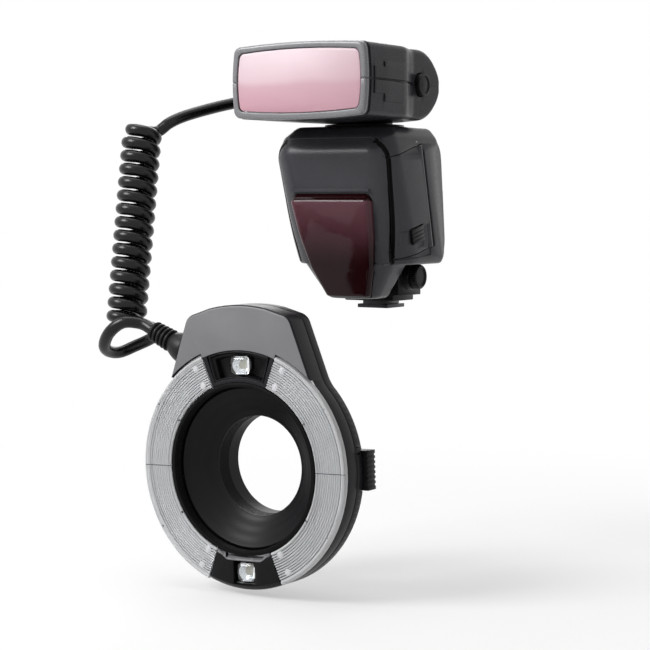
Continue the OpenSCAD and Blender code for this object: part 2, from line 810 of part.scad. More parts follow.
function head_plan(d) = let (w = head_hw + head_bulge - d, c = cheek_hw - d)
    rounded([[-w, head_front - past, 0.2], [w, head_front - past, 0.2], [w, step_y - d, 2],
        [c, step_y + 4 - d, 2],
        [c, tilt_y + drum_r + past, 0.2], [-c, tilt_y + drum_r + past, 0.2], [-c, step_y + 4 - d, 2],
        [-w, step_y - d, 2]]);

function bowed(half_w, half_h, bulge, crown) = concat(
    [for (k = [-5 : 5]) [half_w * k / 5, -half_h + crown * (1 - pow(k / 5, 2)) * -1]],
    [for (k = [-4 : 4]) [half_w + bulge * (1 - pow(k / 5, 2)), half_h * k / 5]],
    [for (k = [-5 : 5]) [-half_w * k / 5, half_h + crown * (1 - pow(k / 5, 2))]],
    [for (k = [-4 : 4]) [-half_w - bulge * (1 - pow(k / 5, 2)), -half_h * k / 5]]);

module head_front_outline(d) {
    polygon(bowed(head_hw - d, drum_r - head_crown - d, head_bulge, head_crown));
}

module head_solid(d) {
    intersection() {
        rotate([90, 0, 90]) linear_extrude(2 * head_w, center = true) polygon(head_side(d));
        translate([0, 0, tilt_z]) linear_extrude(3 * drum_r, center = true) polygon(head_plan(d));
        translate([0, tilt_y + 2 * drum_r, tilt_z]) rotate([90, 0, 0])
            linear_extrude(4 * head_reach) head_front_outline(d);
    }
}

// The hollow head with room for the neck, its trunnions, the gland and the button
module head_case() {
    difference() {
        union() {
            difference() {
                head_solid(0);
                head_solid(wall);
                translate([-head_w, head_front - past, tilt_z - drum_r])
                    cube([2 * head_w, past + 0.01, 2 * drum_r]);
                head_mouth();
            }
            for (side = [-1, 1]) {
                cheek_web(side);
            }
            neck_wall();
        }
        translate([0, tilt_y, tilt_z]) {
            along_x(-neck_hw - cheek_gap) cylinder(r = swept_r, h = neck_w + 2 * cheek_gap);
            along_x(-trunnion_end - 1) cylinder(r = trunnion_r + running_gap, h = 2 * trunnion_end + 2);
            along_x(cheek_hw - wall - past) cylinder(r = tilt_button_r + moving_gap, h = head_w);
            along_x(-cheek_hw - past) cylinder(r = gland_r + moving_gap, h = wall + 2 * past);
        }
    }
}

// The open front of the head's shells, which the bezel closes
module head_mouth() {
    translate([0, head_front + 2 * wall, tilt_z]) rotate([90, 0, 0]) linear_extrude(4 * wall)
        head_front_outline(wall);
}

// The inner wall of a pivot cheek, which turns on its trunnion
module cheek_web(side) {
    intersection() {
        head_solid(0.1);
        translate([side * (neck_hw + cheek_gap + 1.5) - 1.5, step_y, head_low])
            cube([3, 60, 2 * drum_r]);
    }
}

// The round wall that closes the front box behind the neck
module neck_wall() {
    intersection() {
        head_solid(0.1);
        translate([0, tilt_y, tilt_z]) along_x(-neck_hw - 2)
            cylinder(r = swept_r + wall, h = neck_w + 4);
        translate([-neck_w, tilt_y - 40, head_low]) cube([2 * neck_w, 40, 2 * drum_r]);
    }
}

module half_space(side) {
    translate([-head_w, head_front - 10, side > 0 ? tilt_z + part_gap : tilt_z - part_gap - 2 * drum_r])
        cube([2 * head_w, 2 * head_reach, 2 * drum_r]);
}

module head_upper_shell() color("#2b2b2f") intersection() {
    head_case();
    half_space(1);
}

module head_lower_shell() color("#29292d") {
    intersection() {
        head_case();
        half_space(-1);
    }
    for (x = [-18, 18]) {
        difference() {
            translate([x - 1, capacitor_y - 6, head_low + wall - 0.3])
                cube([2, 12, drum_r - wall - capacitor_r + 3]);
            translate([0, capacitor_y, tilt_z]) along_x(-head_w)
                cylinder(r = capacitor_r + fixed_gap, h = 2 * head_w);
        }
    }
}

module head_window_outline(grow) {
    polygon(bowed(head_hw - bezel_border + grow, drum_r - head_crown - bezel_border + grow,
        head_bulge, head_crown));
}

module head_bezel() color("#8f9092") translate([0, head_front, tilt_z]) rotate([90, 0, 0])
    difference() {
    union() {
        linear_extrude(bezel_t) head_front_outline(0.3);
        translate([0, 0, -2]) linear_extrude(2.1) head_front_outline(wall + fixed_gap);
    }
    translate([0, 0, -2 - past]) linear_extrude(bezel_t + 2 + 2 * past) head_window_outline(0);
}

module head_window() color("#d9b3bf") translate([0, head_front, tilt_z]) rotate([90, 0, 0])
    linear_extrude(bezel_t - 0.5) head_window_outline(-fixed_gap);

// An open trough behind the window, with a flange in the bezel and holes for the tube's ends
trough_half_w = head_hw - bezel_border - 2;
trough_half_h = drum_r - head_crown - bezel_border - 2;
head_tube_y = head_front + head_reflector_d - 1.5 - head_tube_r;

module head_reflector() color("#d8d8da") difference() {
    translate([0, head_front, tilt_z]) rotate([90, 0, 0]) difference() {
        union() {
            translate([0, 0, -head_reflector_d]) linear_extrude(head_reflector_d)
                square([2 * trough_half_w, 2 * trough_half_h], center = true);
            translate([0, 0, -1]) linear_extrude(1) head_window_outline(-fixed_gap);
        }
        translate([0, 0, 1 - head_reflector_d]) linear_extrude(head_reflector_d + past)
            square([2 * trough_half_w - 2, 2 * trough_half_h - 2], center = true);
    }
    translate([0, head_tube_y, tilt_z]) along_x(-head_w)
        cylinder(r = head_tube_r + running_gap, h = 2 * head_w);
}

module head_tube() color("#e8eaec") translate([0, head_tube_y, tilt_z])
    along_x(-trough_half_w - 1) cylinder(r = head_tube_r, h = 2 * trough_half_w + 2);

module main_capacitor() color("#1c2a4a") translate([0, capacitor_y, tilt_z]) along_x(-capacitor_l / 2)
    cylinder(r = capacitor_r, h = capacitor_l);

module tilt_button() color("#242427") translate([0, tilt_y, tilt_z]) {
    along_x(tilt_button_in) cylinder(r = tilt_button_r, h = tilt_button_out - tilt_button_in);
}

// Ribbed strain relief along +Z from its root
module boot(root_r, tip_r) {
    rib = boot_l / boot_ribs;
    cylinder(r1 = root_r - 0.7, r2 = tip_r - 0.7, h = boot_l);
    for (k = [0 : boot_ribs - 1]) {
        r = root_r + (tip_r - root_r) * k / boot_ribs;
        translate([0, 0, k * rib]) cylinder(r = r, h = 0.6 * rib);
    }
}

module head_gland() color("#161618") translate([0, tilt_y, tilt_z]) {
    along_x(-gland_out) cylinder(r = gland_r, h = gland_out - trunnion_end);
    translate([-gland_out, 0, 0]) rotate([0, -90, 0]) boot(gland_r, cord_d / 2 + 1.6);
}

module ring_frame() {
    translate([0, ring_y, ring_z]) rotate([90, 0, 0]) rotate(ring_roll) children();
}

function hump_outline(d) = concat(
    [for (k = [-6 : 6]) let (a = hump_angle * k / 6) (hump_top - d) * [-sin(a), cos(a)]],
    [[d - hump_half, hump_shoulder], [d - hump_foot, hump_foot_y], [hump_foot - d, hump_foot_y],
        [hump_half - d, hump_shoulder]]);

module ring_outline(d) {
    circle(r = ring_r - d, $fn = 128);
    polygon(hump_outline(d));
}

// A sector of a ring with the section given by its child, about the middle angle
module swept(middle, half) {
    rotate(middle - half) rotate_extrude(angle = 2 * half, $fn = 128) children();
}

module band(inner, outer, low, high) {
    translate([inner, low]) square([outer - inner, high - low]);
}

lens_half = 90 - trim_half;

module gland_bore(r, back, front) {
    translate(gland_at) rotate([0, 0, gland_turn]) rotate([0, 90, 0]) translate([0, 0, -back])
        cylinder(r = r, h = back + front);
}

module ring_front_cover() color("#3c3c3f") ring_frame() difference() {
    union() {
        difference() {
            translate([0, 0, cover_low]) linear_extrude(face_z - cover_low) ring_outline(0);
            translate([0, 0, cover_low - past]) linear_extrude(cover_floor - cover_low + past)
                ring_outline(wall);
        }
        for (side = [-1, 1]) {
            translate([side * post_low.x, post_low.y, cover_low])
                cylinder(r = post_r, h = cover_floor - cover_low + 0.1);
            translate([side * post_high.x, post_high.y, cover_low])
                cylinder(r = post_r, h = cover_floor - cover_low + 0.1);
        }
    }
    cylinder(r = sleeve_r + fixed_gap, h = 2 * ring_depth);
    translate([0, 0, seat_z]) linear_extrude(ring_depth) difference() {
        circle(r = ring_r + past, $fn = 128);
        polygon([[0, 0], 3 * ring_r * [sin(trim_half), cos(trim_half)],
            3 * ring_r * [-sin(trim_half), cos(trim_half)]]);
    }
    for (middle = [0, 180]) {
        swept(middle, lens_half - 3) band(trough_in - 0.6, trough_out + 0.6, cover_low, ring_depth);
    }
    swept(90, top_pocket_half) band(pocket_in, pocket_out, cover_low, ring_depth);
    swept(270, pocket_half) band(pocket_in, low_pocket_out, cover_low, ring_depth);
    for (side = [-1, 1]) {
        translate([side * post_low.x, post_low.y, cover_low - past])
            cylinder(r = screw_r + 0.02, h = 6);
        translate([side * post_high.x, post_high.y, cover_low - past])
            cylinder(r = screw_r + 0.02, h = 6);
    }
    gland_bore(ring_gland_neck + fixed_gap, 6, 8);
}

// Section of the rear housing, outside (d = 0) or inside (d = wall)
function housing_section(d) =
    [[0, d], [ring_r - 8.8 - d, d], [ring_r - 4.8 - d * 0.9, 5 + d * 0.4], [ring_r - d, 12 + d * 0.3],
    [ring_r - d, cover_low + (d > 0 ? past : -0.1)], [0, cover_low + (d > 0 ? past : -0.1)]];

module ring_rear_housing() color("#222225") ring_frame() difference() {
    union() {
        difference() {
            union() {
                rotate_extrude($fn = 128) polygon(housing_section(0));
                translate([0, 0, hump_low]) linear_extrude(cover_low - 0.1 - hump_low)
                    polygon(hump_outline(0));
            }
            rotate_extrude($fn = 128) polygon(housing_section(wall));
            translate([0, 0, hump_low + wall]) linear_extrude(cover_low) polygon(hump_outline(wall));
        }
        for (side = [-1, 1]) {
            translate([side * post_low.x, post_low.y, 5]) cylinder(r = post_r, h = cover_low - 5.1);
            translate([side * post_high.x, post_high.y, hump_low + 0.1])
                cylinder(r = post_r, h = cover_low - hump_low - 0.2);
        }
    }
    translate([0, 0, -past]) cylinder(r = sleeve_r + fixed_gap, h = ring_depth);
    for (side = [0, 180]) {
        rotate(side) translate([button_in - 3, -button_half - moving_gap, button_low - moving_gap])
            cube([20, 2 * (button_half + moving_gap), button_high - button_low + 2 * moving_gap]);
    }
    for (side = [-1, 1]) {
        translate([side * post_low.x, post_low.y, -past])
            cylinder(r = screw_head_r + fixed_gap, h = 7.5 + past);
        translate([side * post_low.x, post_low.y, 0]) cylinder(r = screw_r + 0.1, h = ring_depth);
        translate([side * post_high.x, post_high.y, hump_low - past])
            cylinder(r = screw_head_r + fixed_gap, h = 1.5 + past);
        translate([side * post_high.x, post_high.y, hump_low])
            cylinder(r = screw_r + 0.1, h = ring_depth);
    }
    gland_bore(ring_gland_neck + fixed_gap, 6, 8);
}

module housing_screws() color("#6d6d70") {
    ring_frame() for (side = [-1, 1]) {
        translate([side * post_low.x, post_low.y, 6.1]) screw(cover_low - 3);
        translate([side * post_high.x, post_high.y, hump_low + 0.1]) screw(cover_low - hump_low + 3);
    }
}

// A screw along +Z with its head at the bottom
module screw(l) difference() {
    union() {
        cylinder(r = screw_head_r, h = 1.3);
        translate([0, 0, 1.2]) cylinder(r = screw_r, h = l - 1.2);
    }
    translate([0, 0, -past]) cylinder(r = 0.8, h = past + 0.7, $fn = 6);
}

module ring_sleeve() color("#121214") ring_frame() difference() {
    translate([0, 0, 0.3]) cylinder(r = sleeve_r, h = face_z - 0.3, $fn = 128);
    translate([0, 0, -past]) cylinder(r = bore_r, h = ring_depth + 2 * past, $fn = 128);
    for (side = [0, 180]) {
        rotate(side) translate([-sleeve_r - past, catch_y - catch_half - moving_gap,
            catch_low - moving_gap])
            cube([2 * past + 3 * sleeve_t, 2 * (catch_half + moving_gap),
                yoke_high - catch_low + 2 * moving_gap]);
    }
}

// Section of a ring lens, with concentric ribs on its front
rib_in = lens_in + 2;
rib_pitch = (lens_out - 3 - rib_in) / lens_ribs;
function lens_section() = concat(
    [[lens_in, lens_low], [lens_out, lens_low],
        [lens_out, ring_depth - 1.2], [lens_out - 1.2, ring_depth]],
    [for (k = [lens_ribs : -1 : 1], top = [0, 1])
        [rib_in + (k - (top == 0 ? 0 : 0.5)) * rib_pitch, ring_depth - (top == 0 ? 0.7 : 0.1)]],
    [[rib_in, ring_depth - 0.7], [lens_in + 0.8, ring_depth], [lens_in, ring_depth - 0.8]]);

module ring_lens(middle) color("#e4e6e8", 0.6) ring_frame() swept(middle, lens_half - 0.3)
    polygon(lens_section());

module ring_lens_left() ring_lens(180);

module ring_lens_right() ring_lens(0);

// Section of a reflector trough, with the flange that hangs it under the front cover
function trough_section() = [[trough_in, cover_floor], [trough_in - 1, cover_floor],
    [trough_in - 1, cover_floor - trough_t], [trough_in, cover_floor - trough_t],
    [tube_mid_r - tube_r - 1, trough_low], [tube_mid_r + tube_r + 1, trough_low],
    [trough_out, cover_floor - trough_t], [trough_out + 1, cover_floor - trough_t],
    [trough_out + 1, cover_floor], [trough_out, cover_floor],
    [tube_mid_r + tube_r + 0.6, trough_low + trough_t],
        [tube_mid_r - tube_r - 0.6, trough_low + trough_t]];

module reflector(middle) color("#cfd2d5") ring_frame() swept(middle, lens_half - 4)
    polygon(trough_section());

module reflector_left() reflector(180);

module reflector_right() reflector(0);

module flash_tube(middle) color("#eef2f4") ring_frame() swept(middle, lens_half - 7)
    translate([tube_mid_r, tube_z])
    circle(r = tube_r);

module flash_tube_left() flash_tube(180);

module flash_tube_right() flash_tube(0);

// The black pocket round the upper focusing lamp
module lamp_trim_top() color("#101012") ring_frame() difference() {
    swept(90, top_pocket_half - 0.2)
        band(pocket_in + fixed_gap, pocket_out - fixed_gap, lamp_floor - trim_t, face_z - 0.6);
    swept(90, top_pocket_half - 2)
        band(pocket_in + trim_t, pocket_out - trim_t, lamp_floor, ring_depth);
}

// The black block round the lower focusing lamp, with a lip at the bore
module lamp_trim_bottom() color("#141416") ring_frame() difference() {
    union() {
        swept(270, pocket_half - 0.2)
            band(pocket_in + fixed_gap, low_pocket_out - fixed_gap, lamp_floor - trim_t, face_z - 1);
        swept(270, trim_half - 0.3)
            polygon([[lens_in, seat_z], [lens_out - 0.3, seat_z], [lens_out - 0.3, ring_depth - 2.4],
            [lens_out - 2.4, ring_depth - 0.2], [lens_in + 1.4, ring_depth - 0.2],
                [lens_in, ring_depth - 1.6]]);
    }
    translate([-lamp_w / 2 - 1, -lamp_mid_r - lamp_h / 2 - 1, lamp_floor])
        cube([lamp_w + 2, lamp_h + 2, ring_depth]);
}

module at_lamps() {
    for (side = [-1, 1]) {
        translate([0, side * lamp_mid_r, 0]) children();
    }
}

module lamp_lenses() color("#d5d8da", 0.7) ring_frame() at_lamps() {
    low = lamp_floor + 2;
    difference() {
        intersection() {
            translate([-lamp_w / 2, -lamp_h / 2, lamp_floor]) cube([lamp_w, lamp_h, ring_depth]);
            translate([0, 0, ring_depth - 0.4 - 22]) sphere(r = 22);
        }
        translate([-lamp_w / 2 + 1, -lamp_h / 2 + 1, lamp_floor - past])
            cube([lamp_w - 2, lamp_h - 2, low - lamp_floor + past]);
    }
}

module lamp_leds() color("#f0e6b0") ring_frame() at_lamps() {
    translate([-2.5, -2.5, lamp_floor]) cube([5, 5, 1]);
    translate([0, 0, lamp_floor + 0.9]) cylinder(r = 1.8, h = 0.7);
}

module ring_board() color("#1f5a3a") ring_frame() difference() {
    union() {
        translate([0, 0, board_low]) cylinder(r = ring_r - 7.8, h = ring_board_t);
        translate([15.5 - hump_half, bore_r, board_low])
            cube([2 * (hump_half - 15.5), hump_top - 9.5 - bore_r, ring_board_t]);
    }
    translate([0, 0, board_low - past]) cylinder(r = sleeve_r + 1, h = 3 * past + ring_board_t);
    for (side = [-1, 1]) {
        translate([side * post_low.x, post_low.y, board_low - past])
            cylinder(r = post_r + 0.3, h = 3 * past + ring_board_t);
    }
}

// Turned adapter: outer rim with a conical back edge, dished front and a male thread at the back
module lens_adapter() color("#151517") ring_frame() rotate_extrude($fn = 128) polygon([
    [adapter_in, -thread_l], [thread_r, -thread_l], [thread_r, 0], [thread_r + 2.4, 0],
    [thread_r + 2.4, dish_low - 3], [adapter_r - rim_cone - 1.2, adapter_high - 5.6],
    [adapter_r - rim_cone - 1.2, rim_low - rim_cone], [adapter_r - rim_cone, rim_low - rim_cone],
    [adapter_r, rim_low], [adapter_r, adapter_high], [adapter_r - 1, adapter_high + 0.6],
    [adapter_in + 0.8, dish_low + 0.4], [adapter_in, dish_low]]);

// A release button with its yoke over one half of the ring and its catch on the far side
module release_slider() {
    difference() {
        translate([button_in, -button_half, button_low])
            cube([button_out - button_in, 2 * button_half, button_high - button_low]);
        for (k = [-3 : 3]) {
            translate([button_out - 0.5, 2.4 * k - 0.5, button_low - past]) cube([past, 1, 20]);
        }
    }
    translate([yoke_in, catch_y - catch_half, yoke_low])
        cube([button_in - yoke_in + 0.1, 2 * catch_half, yoke_high - yoke_low]);
    swept(90, 90 - yoke_angle) band(yoke_in, yoke_out, yoke_low, yoke_high);
    translate([-yoke_in - 1, catch_y - catch_half, catch_low])
        cube([yoke_in + 1 - catch_tip, 2 * catch_half, catch_high - catch_low]);
}

module release_right() color("#1a1a1c") ring_frame() release_slider();

module release_left() color("#1a1a1c") ring_frame() rotate(180) release_slider();

module ring_boot() color("#161618") ring_frame() translate(gland_at) rotate([0, 0, gland_turn])
    rotate([0, 90, 0]) {
    translate([0, 0, -4]) cylinder(r = ring_gland_neck, h = 9);
    translate([0, 0, 4.2]) cylinder(r = ring_gland_r, h = ring_gland_l - 4.2);
    translate([0, 0, ring_gland_l]) boot(ring_gland_neck, cord_d / 2 + 1.6);
}

// A smooth curve through the points of a route, with n steps a stretch
function curve_point(a, b, c, d, t) = 0.5 * (2 * b + (c - a) * t + (2 * a - 5 * b + 4 * c - d) * t * t
    + (3 * b - a - 3 * c + d) * t * t * t);
function curve(p, n) = let (last = len(p) - 1) concat([for (i = [0 : last - 1], k = [0 : n - 1])
    curve_point(p[max(i - 1, 0)], p[i], p[i + 1], p[min(i + 2, last)], k / n)], [p[last]]);

// The same curve with its first and last stretches straight
function run(p, n) = let (c = curve(p, n), last = len(c) - 1)
    concat([c[0]], [for (i = [n : last - n]) c[i]], [c[last]]);

// A tube along points: rings that don't twist, and triangles between them
function tangent(p, i) = unit(p[min(i + 1, len(p) - 1)] - p[max(i - 1, 0)]);
function square_to(n, t) = unit(n - (n * t) * t);
function ring_normals(p) = [for (i = 0, n = square_to([0.3, 0.2, 0.93], tangent(p, 0)); i < len(p);
    i = i + 1, n = i < len(p) ? square_to(n, tangent(p, i)) : n) n];
function tube_points(p, r, sides) =
    let (n = ring_normals(p)) [for (i = [0 : len(p) - 1], k = [0 : sides - 1])
    p[i] + r * (cos(360 * k / sides) * n[i] + sin(360 * k / sides) * cross(tangent(p, i), n[i]))];
function tube_faces(count, sides) = concat(
    [for (i = [0 : count - 2], k = [0 : sides - 1], half = [0, 1])
        let (m = (k + 1) % sides, a = i * sides)
        half == 0 ? [a + k, a + m, a + sides + k] : [a + m, a + sides + m, a + sides + k]],
    [for (k = [1 : sides - 2]) [0, k + 1, k]],
    [for (k = [1 : sides - 2]) let (a = (count - 1) * sides) [a, a + k, a + k + 1]]);

module tube(p, r, sides) {
    polyhedron(points = tube_points(p, r, sides),
        faces = [for (f = tube_faces(len(p), sides)) [f[0], f[2], f[1]]]);
}

// The coil: curls round a slanting axis, with a straight run of one diameter at each end
coil_axis = unit(coil_bottom - coil_top);
coil_u = square_to([1, 0, 0], coil_axis);
coil_v = cross(coil_u, coil_axis);
coil_l = norm(coil_bottom - coil_top);
curl_count = round(curls * curl_steps);
coil_turned = [for (i = [0 : curl_count]) let (a = coil_start + 360 * i / curl_steps)
    coil_top + coil_axis * coil_l * i / curl_count + curl_r * (cos(a) * coil_u + sin(a) * coil_v)];
coil_first = unit(coil_turned[0] - coil_turned[1]);
coil_last = unit(coil_turned[curl_count] - coil_turned[curl_count - 1]);
coil_path = concat([coil_turned[0] + cord_d * coil_first], coil_turned,
    [coil_turned[curl_count] + cord_d * coil_last]);
coil_in = coil_path[0];
coil_out = coil_path[len(coil_path) - 1];
upper_path = run(concat([head_exit], upper_route, [coil_in + cord_d * coil_first, coil_in]), 4);
lower_path = run(concat([coil_out, coil_out + cord_d * coil_last],
    lower_route, [boot_tip + 1.2 * cord_d * boot_dir, boot_tip]), 5);

// The least gap of a tube to itself, over points that are more than half a curl apart along it
function least_gap(p, d) =
    min([for (i = [0 : len(p) - 1], j = [i + curl_steps / 2 + 1 : 1 : len(p) - 1])
        norm(p[i] - p[j])]) - d;
echo(coil_gap = least_gap(coil_path, cord_d));

module cord_upper() color("#121214") tube(upper_path, cord_d / 2, cord_sides);

module cord_coil() color("#121214") tube(coil_path, cord_d / 2, curl_sides);

module cord_lower() color("#121214") tube(lower_path, cord_d / 2, cord_sides);

front_shell();
rear_shell();
assist_window();
assist_lamps();
battery_tray();
battery_cells();
battery_door();
door_contacts();
door_latch();
door_hinge_pin();
main_board();
display_module();
display_window();
soft_key_1();
soft_key_2();
soft_key_3();
soft_key_4();
mode_key();
test_key();
control_dial();
set_key();
power_switch();
foot_plate();
foot_block();
foot_contacts();
lock_knob();
lock_pin();
neck();
swivel_retainer();
head_upper_shell();
head_lower_shell();
head_bezel();
head_window();
head_reflector();
head_tube();
main_capacitor();
tilt_button();
head_gland();
ring_front_cover();
ring_rear_housing();
ring_sleeve();
ring_lens_left();
ring_lens_right();
reflector_left();
reflector_right();
flash_tube_left();
flash_tube_right();
lamp_trim_top();
lamp_trim_bottom();
lamp_lenses();
lamp_leds();
ring_board();
lens_adapter();
release_right();
release_left();
ring_boot();
housing_screws();
cord_upper();
cord_coil();
cord_lower();
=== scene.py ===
import json
import math
import bpy
import bmesh
from mathutils import Matrix, Vector


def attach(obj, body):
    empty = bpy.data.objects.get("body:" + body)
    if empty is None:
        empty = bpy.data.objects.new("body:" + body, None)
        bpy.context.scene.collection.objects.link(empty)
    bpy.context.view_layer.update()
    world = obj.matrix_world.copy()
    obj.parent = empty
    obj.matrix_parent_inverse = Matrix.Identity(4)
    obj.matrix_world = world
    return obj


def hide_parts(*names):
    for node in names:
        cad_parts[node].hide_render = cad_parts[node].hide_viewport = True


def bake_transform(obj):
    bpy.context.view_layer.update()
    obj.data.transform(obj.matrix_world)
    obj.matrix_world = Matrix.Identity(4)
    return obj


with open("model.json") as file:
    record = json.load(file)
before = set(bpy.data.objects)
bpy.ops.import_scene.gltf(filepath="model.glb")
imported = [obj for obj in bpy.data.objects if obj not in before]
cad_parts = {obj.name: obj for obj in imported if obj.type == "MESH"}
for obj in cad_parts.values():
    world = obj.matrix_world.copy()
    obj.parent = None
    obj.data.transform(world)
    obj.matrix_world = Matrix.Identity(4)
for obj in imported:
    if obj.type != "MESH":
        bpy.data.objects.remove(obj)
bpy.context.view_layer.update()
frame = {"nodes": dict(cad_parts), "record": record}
nodes = frame["nodes"]
bodyOf = {node: body for body, names in frame["record"]["behaviour"]["bodies"].items() for node in names}
mm = 0.001
print("frame loaded:", len(nodes), "nodes")


def linearColor(code):
    # sRGB hex to the linear values that the shaders take
    parts = [int(code[i:i + 2], 16) / 255 for i in (1, 3, 5)]
    return tuple(c / 12.92 if c <= 0.04045 else ((c + 0.055) / 1.055) ** 2.4 for c in parts) + (1.0,)


def addNode(tree, kind, inputs=None, **settings):
    # shader kinds go without their prefix; an input takes a value, a socket or a list of sockets
    node = tree.nodes.new(kind if "Node" in kind else "ShaderNode" + kind)
    for key, value in settings.items():
        setattr(node, key, value)
    for key, value in (inputs or {}).items():
        for source in value if isinstance(value, list) else [value]:
            if isinstance(source, bpy.types.NodeSocket):
                tree.links.new(source, node.inputs[key])
            else:
                node.inputs[key].default_value = source
    return node.outputs


def addObject(name, data):
    thing = bpy.data.objects.new(name, data)
    bpy.context.collection.objects.link(thing)
    return thing


def aimed(name, data, place, direction):
    # a camera or a lamp that looks along the direction
    thing = addObject(name, data)
    thing.location = place
    thing.rotation_mode = "QUATERNION"
    thing.rotation_quaternion = direction.to_track_quat("-Z", "Y")
    return thing


def turned(degrees, axis, place=(0, 0, 0)):
    return Matrix.Translation(place) @ Matrix.Rotation(math.radians(degrees), 4, axis)


def inMetres(matrix):
    # a frame with its place in millimetres, for meshes that are already in metres
    moved = matrix.copy()
    moved.translation = matrix.translation * mm
    return moved


# camera at the photograph's place: level with the body, turned to the unit's right front
camera = {"place": (502.8, -845.2, 57.7), "back": (0.5362, -0.8413, 0.0685), "lens": 101.0, "sensor": 36}
cameraData = bpy.data.cameras.new("camera")
cameraData.lens = camera["lens"]
cameraData.sensor_width = camera["sensor"]
bpy.context.scene.camera = aimed("camera", cameraData, Vector(camera["place"]) * mm, -Vector(camera["back"]))
bpy.context.scene.view_settings.view_transform = "Standard"
print("camera placed")


# shapes are lists of points and faces in millimetres, so that they can be joined before they become a piece
def joinShapes(shapes):
    points, faces = [], []
    for shape in shapes:
        offset = len(points)
        points += shape[0]
        faces += [tuple(i + offset for i in face) for face in shape[1]]
    return points, faces


def loft(loops):
    count = len(loops[0])
    points = [Vector(p) for loop in loops for p in loop]
    faces = [tuple(range(count - 1, -1, -1)), tuple(range((len(loops) - 1) * count, len(loops) * count))]
    for i in range(len(loops) - 1):
        for k in range(count):
            m = (k + 1) % count
            faces.append((i * count + k, i * count + m, (i + 1) * count + m, (i + 1) * count + k))
    return points, faces


def prism(outline, *heights):
    return loft([[(*p, z) for p in outline] for z in heights])


def sidePrism(outline, *ends):
    # an outline of (y, z) drawn out along X
    return loft([[(x, *p) for p in outline] for x in ends])


def boxShape(a, b):
    low, high = [[pick(pair) for pair in zip(a, b)] for pick in (min, max)]
    return prism([(low[0], low[1]), (high[0], low[1]), (high[0], high[1]), (low[0], high[1])], low[2], high[2])


def rodShape(center, axis, radius, low, high, sides=64):
    axis = Vector(axis)
    across = axis.orthogonal().normalized()
    other = axis.cross(across)
    turns = [2 * math.pi * k / sides for k in range(sides)]
    return loft([[Vector(center) + h * axis + radius * (math.cos(a) * across + math.sin(a) * other) for a in turns]
        for h in (low, high)])


def turnShape(profile, sides, start=0.0, sweep=360.0):
    # a closed profile of (radius, height) turned about Z, all round or through a sector
    full = abs(sweep - 360) < 0.01
    count = len(profile)
    steps = sides if full else sides + 1
    points = [Vector((r * math.cos(a), r * math.sin(a), h))
        for a in [math.radians(start + sweep * i / sides) for i in range(steps)] for r, h in profile]
    faces = []
    for i in range(sides):
        j = (i + 1) % steps
        for k in range(count):
            m = (k + 1) % count
            faces.append((i * count + k, j * count + k, j * count + m, i * count + m))
    if not full:
        faces += [tuple(range(count)), tuple(range((steps - 1) * count, steps * count))[::-1]]
    return points, faces


def edgeArc(size):
    # how far a rounded edge has risen and drawn in
    return [(size * math.sin(a), size * (1 - math.cos(a))) for a in [math.radians(15 * k) for k in range(1, 7)]]


def placed(shape, matrix):
    return [matrix @ p for p in shape[0]], shape[1]


def meshFrom(name, points, faces):
    mesh = bpy.data.meshes.new(name)
    mesh.from_pydata([tuple(c * mm for c in p) for p in points], [], faces)
    mesh.validate()
    return mesh


def shadeSmooth(piece, angle):
    piece.data.shade_smooth()
    piece.data.set_sharp_from_angle(angle=math.radians(angle))


def tubePiece(name, path, radius, sides):
    # a round tube whose rings don't twist
    rings = []
    turns = [2 * math.pi * k / sides for k in range(sides)]
    normal = Vector((0.3, 0.2, 0.93))
    for before, middle, after in zip(path[:1] + path, path, path[1:] + path[-1:]):
        along = (after - before).normalized()
        normal = (normal - normal.dot(along) * along).normalized()
        other = along.cross(normal)
        rings.append([middle + radius * (math.cos(a) * normal + math.sin(a) * other) for a in turns])
    piece = addObject(name, meshFrom(name, *loft(rings)))
    shadeSmooth(piece, 35)
    return piece


def solidPiece(name, shape, place=Matrix()):
    piece = addObject(name, meshFrom(name, *placed(shape, place)))
    work = bmesh.new()
    work.from_mesh(piece.data)
    bmesh.ops.recalc_face_normals(work, faces=work.faces)
    work.to_mesh(piece.data)
    work.free()
    return piece


def bake(piece):
    # the modifiers' result becomes the piece's own mesh
    seen = bpy.context.evaluated_depsgraph_get()
    mesh = bpy.data.meshes.new_from_object(piece.evaluated_get(seen))
    piece.modifiers.clear()
    old = piece.data
    piece.data = mesh
    bpy.data.meshes.remove(old)


def carve(piece, *shapes, how="DIFFERENCE", place=Matrix()):
    # takes shapes or whole pieces, one after the other
    for shape in shapes:
        cutter = solidPiece("cutter", shape, place) if isinstance(shape, tuple) else shape
        change = piece.modifiers.new("carve", "BOOLEAN")
        change.object = cutter
        change.operation = how
        change.solver = "EXACT"
        bake(piece)
        bpy.data.objects.remove(cutter)


def soften(piece, width=0, segments=2):
    # small rounded edges, as a mould leaves them, and smooth shading
    merge = 0.02 * mm
    work = bmesh.new()
    work.from_mesh(piece.data)
    bmesh.ops.remove_doubles(work, verts=work.verts, dist=merge)
    bmesh.ops.dissolve_degenerate(work, edges=work.edges, dist=merge)
    work.to_mesh(piece.data)
    work.free()
    if width > 0:
        edge = piece.modifiers.new("edges", "BEVEL")
        edge.width = width * mm
        edge.segments = segments
        edge.limit_method = "ANGLE"
        edge.angle_limit = math.radians(40)
        edge.use_clamp_overlap = False
        edge.miter_outer = "MITER_ARC"
        bake(piece)
    shadeSmooth(piece, 38)


def dress(piece, finish, *names, body=None, slot=None):
    # the body is that of the node it stands for, unless it is given; the slot is not used
    piece.data.materials.clear()
    piece.data.materials.append(made[finish])
    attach(piece, body or bodyOf[names[0]])
    if names:
        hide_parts(*names)


def turnedPiece(name, profile, sides, place, *look):
    piece = solidPiece(name, turnShape(profile, sides), place)
    soften(piece)
    dress(piece, *look)


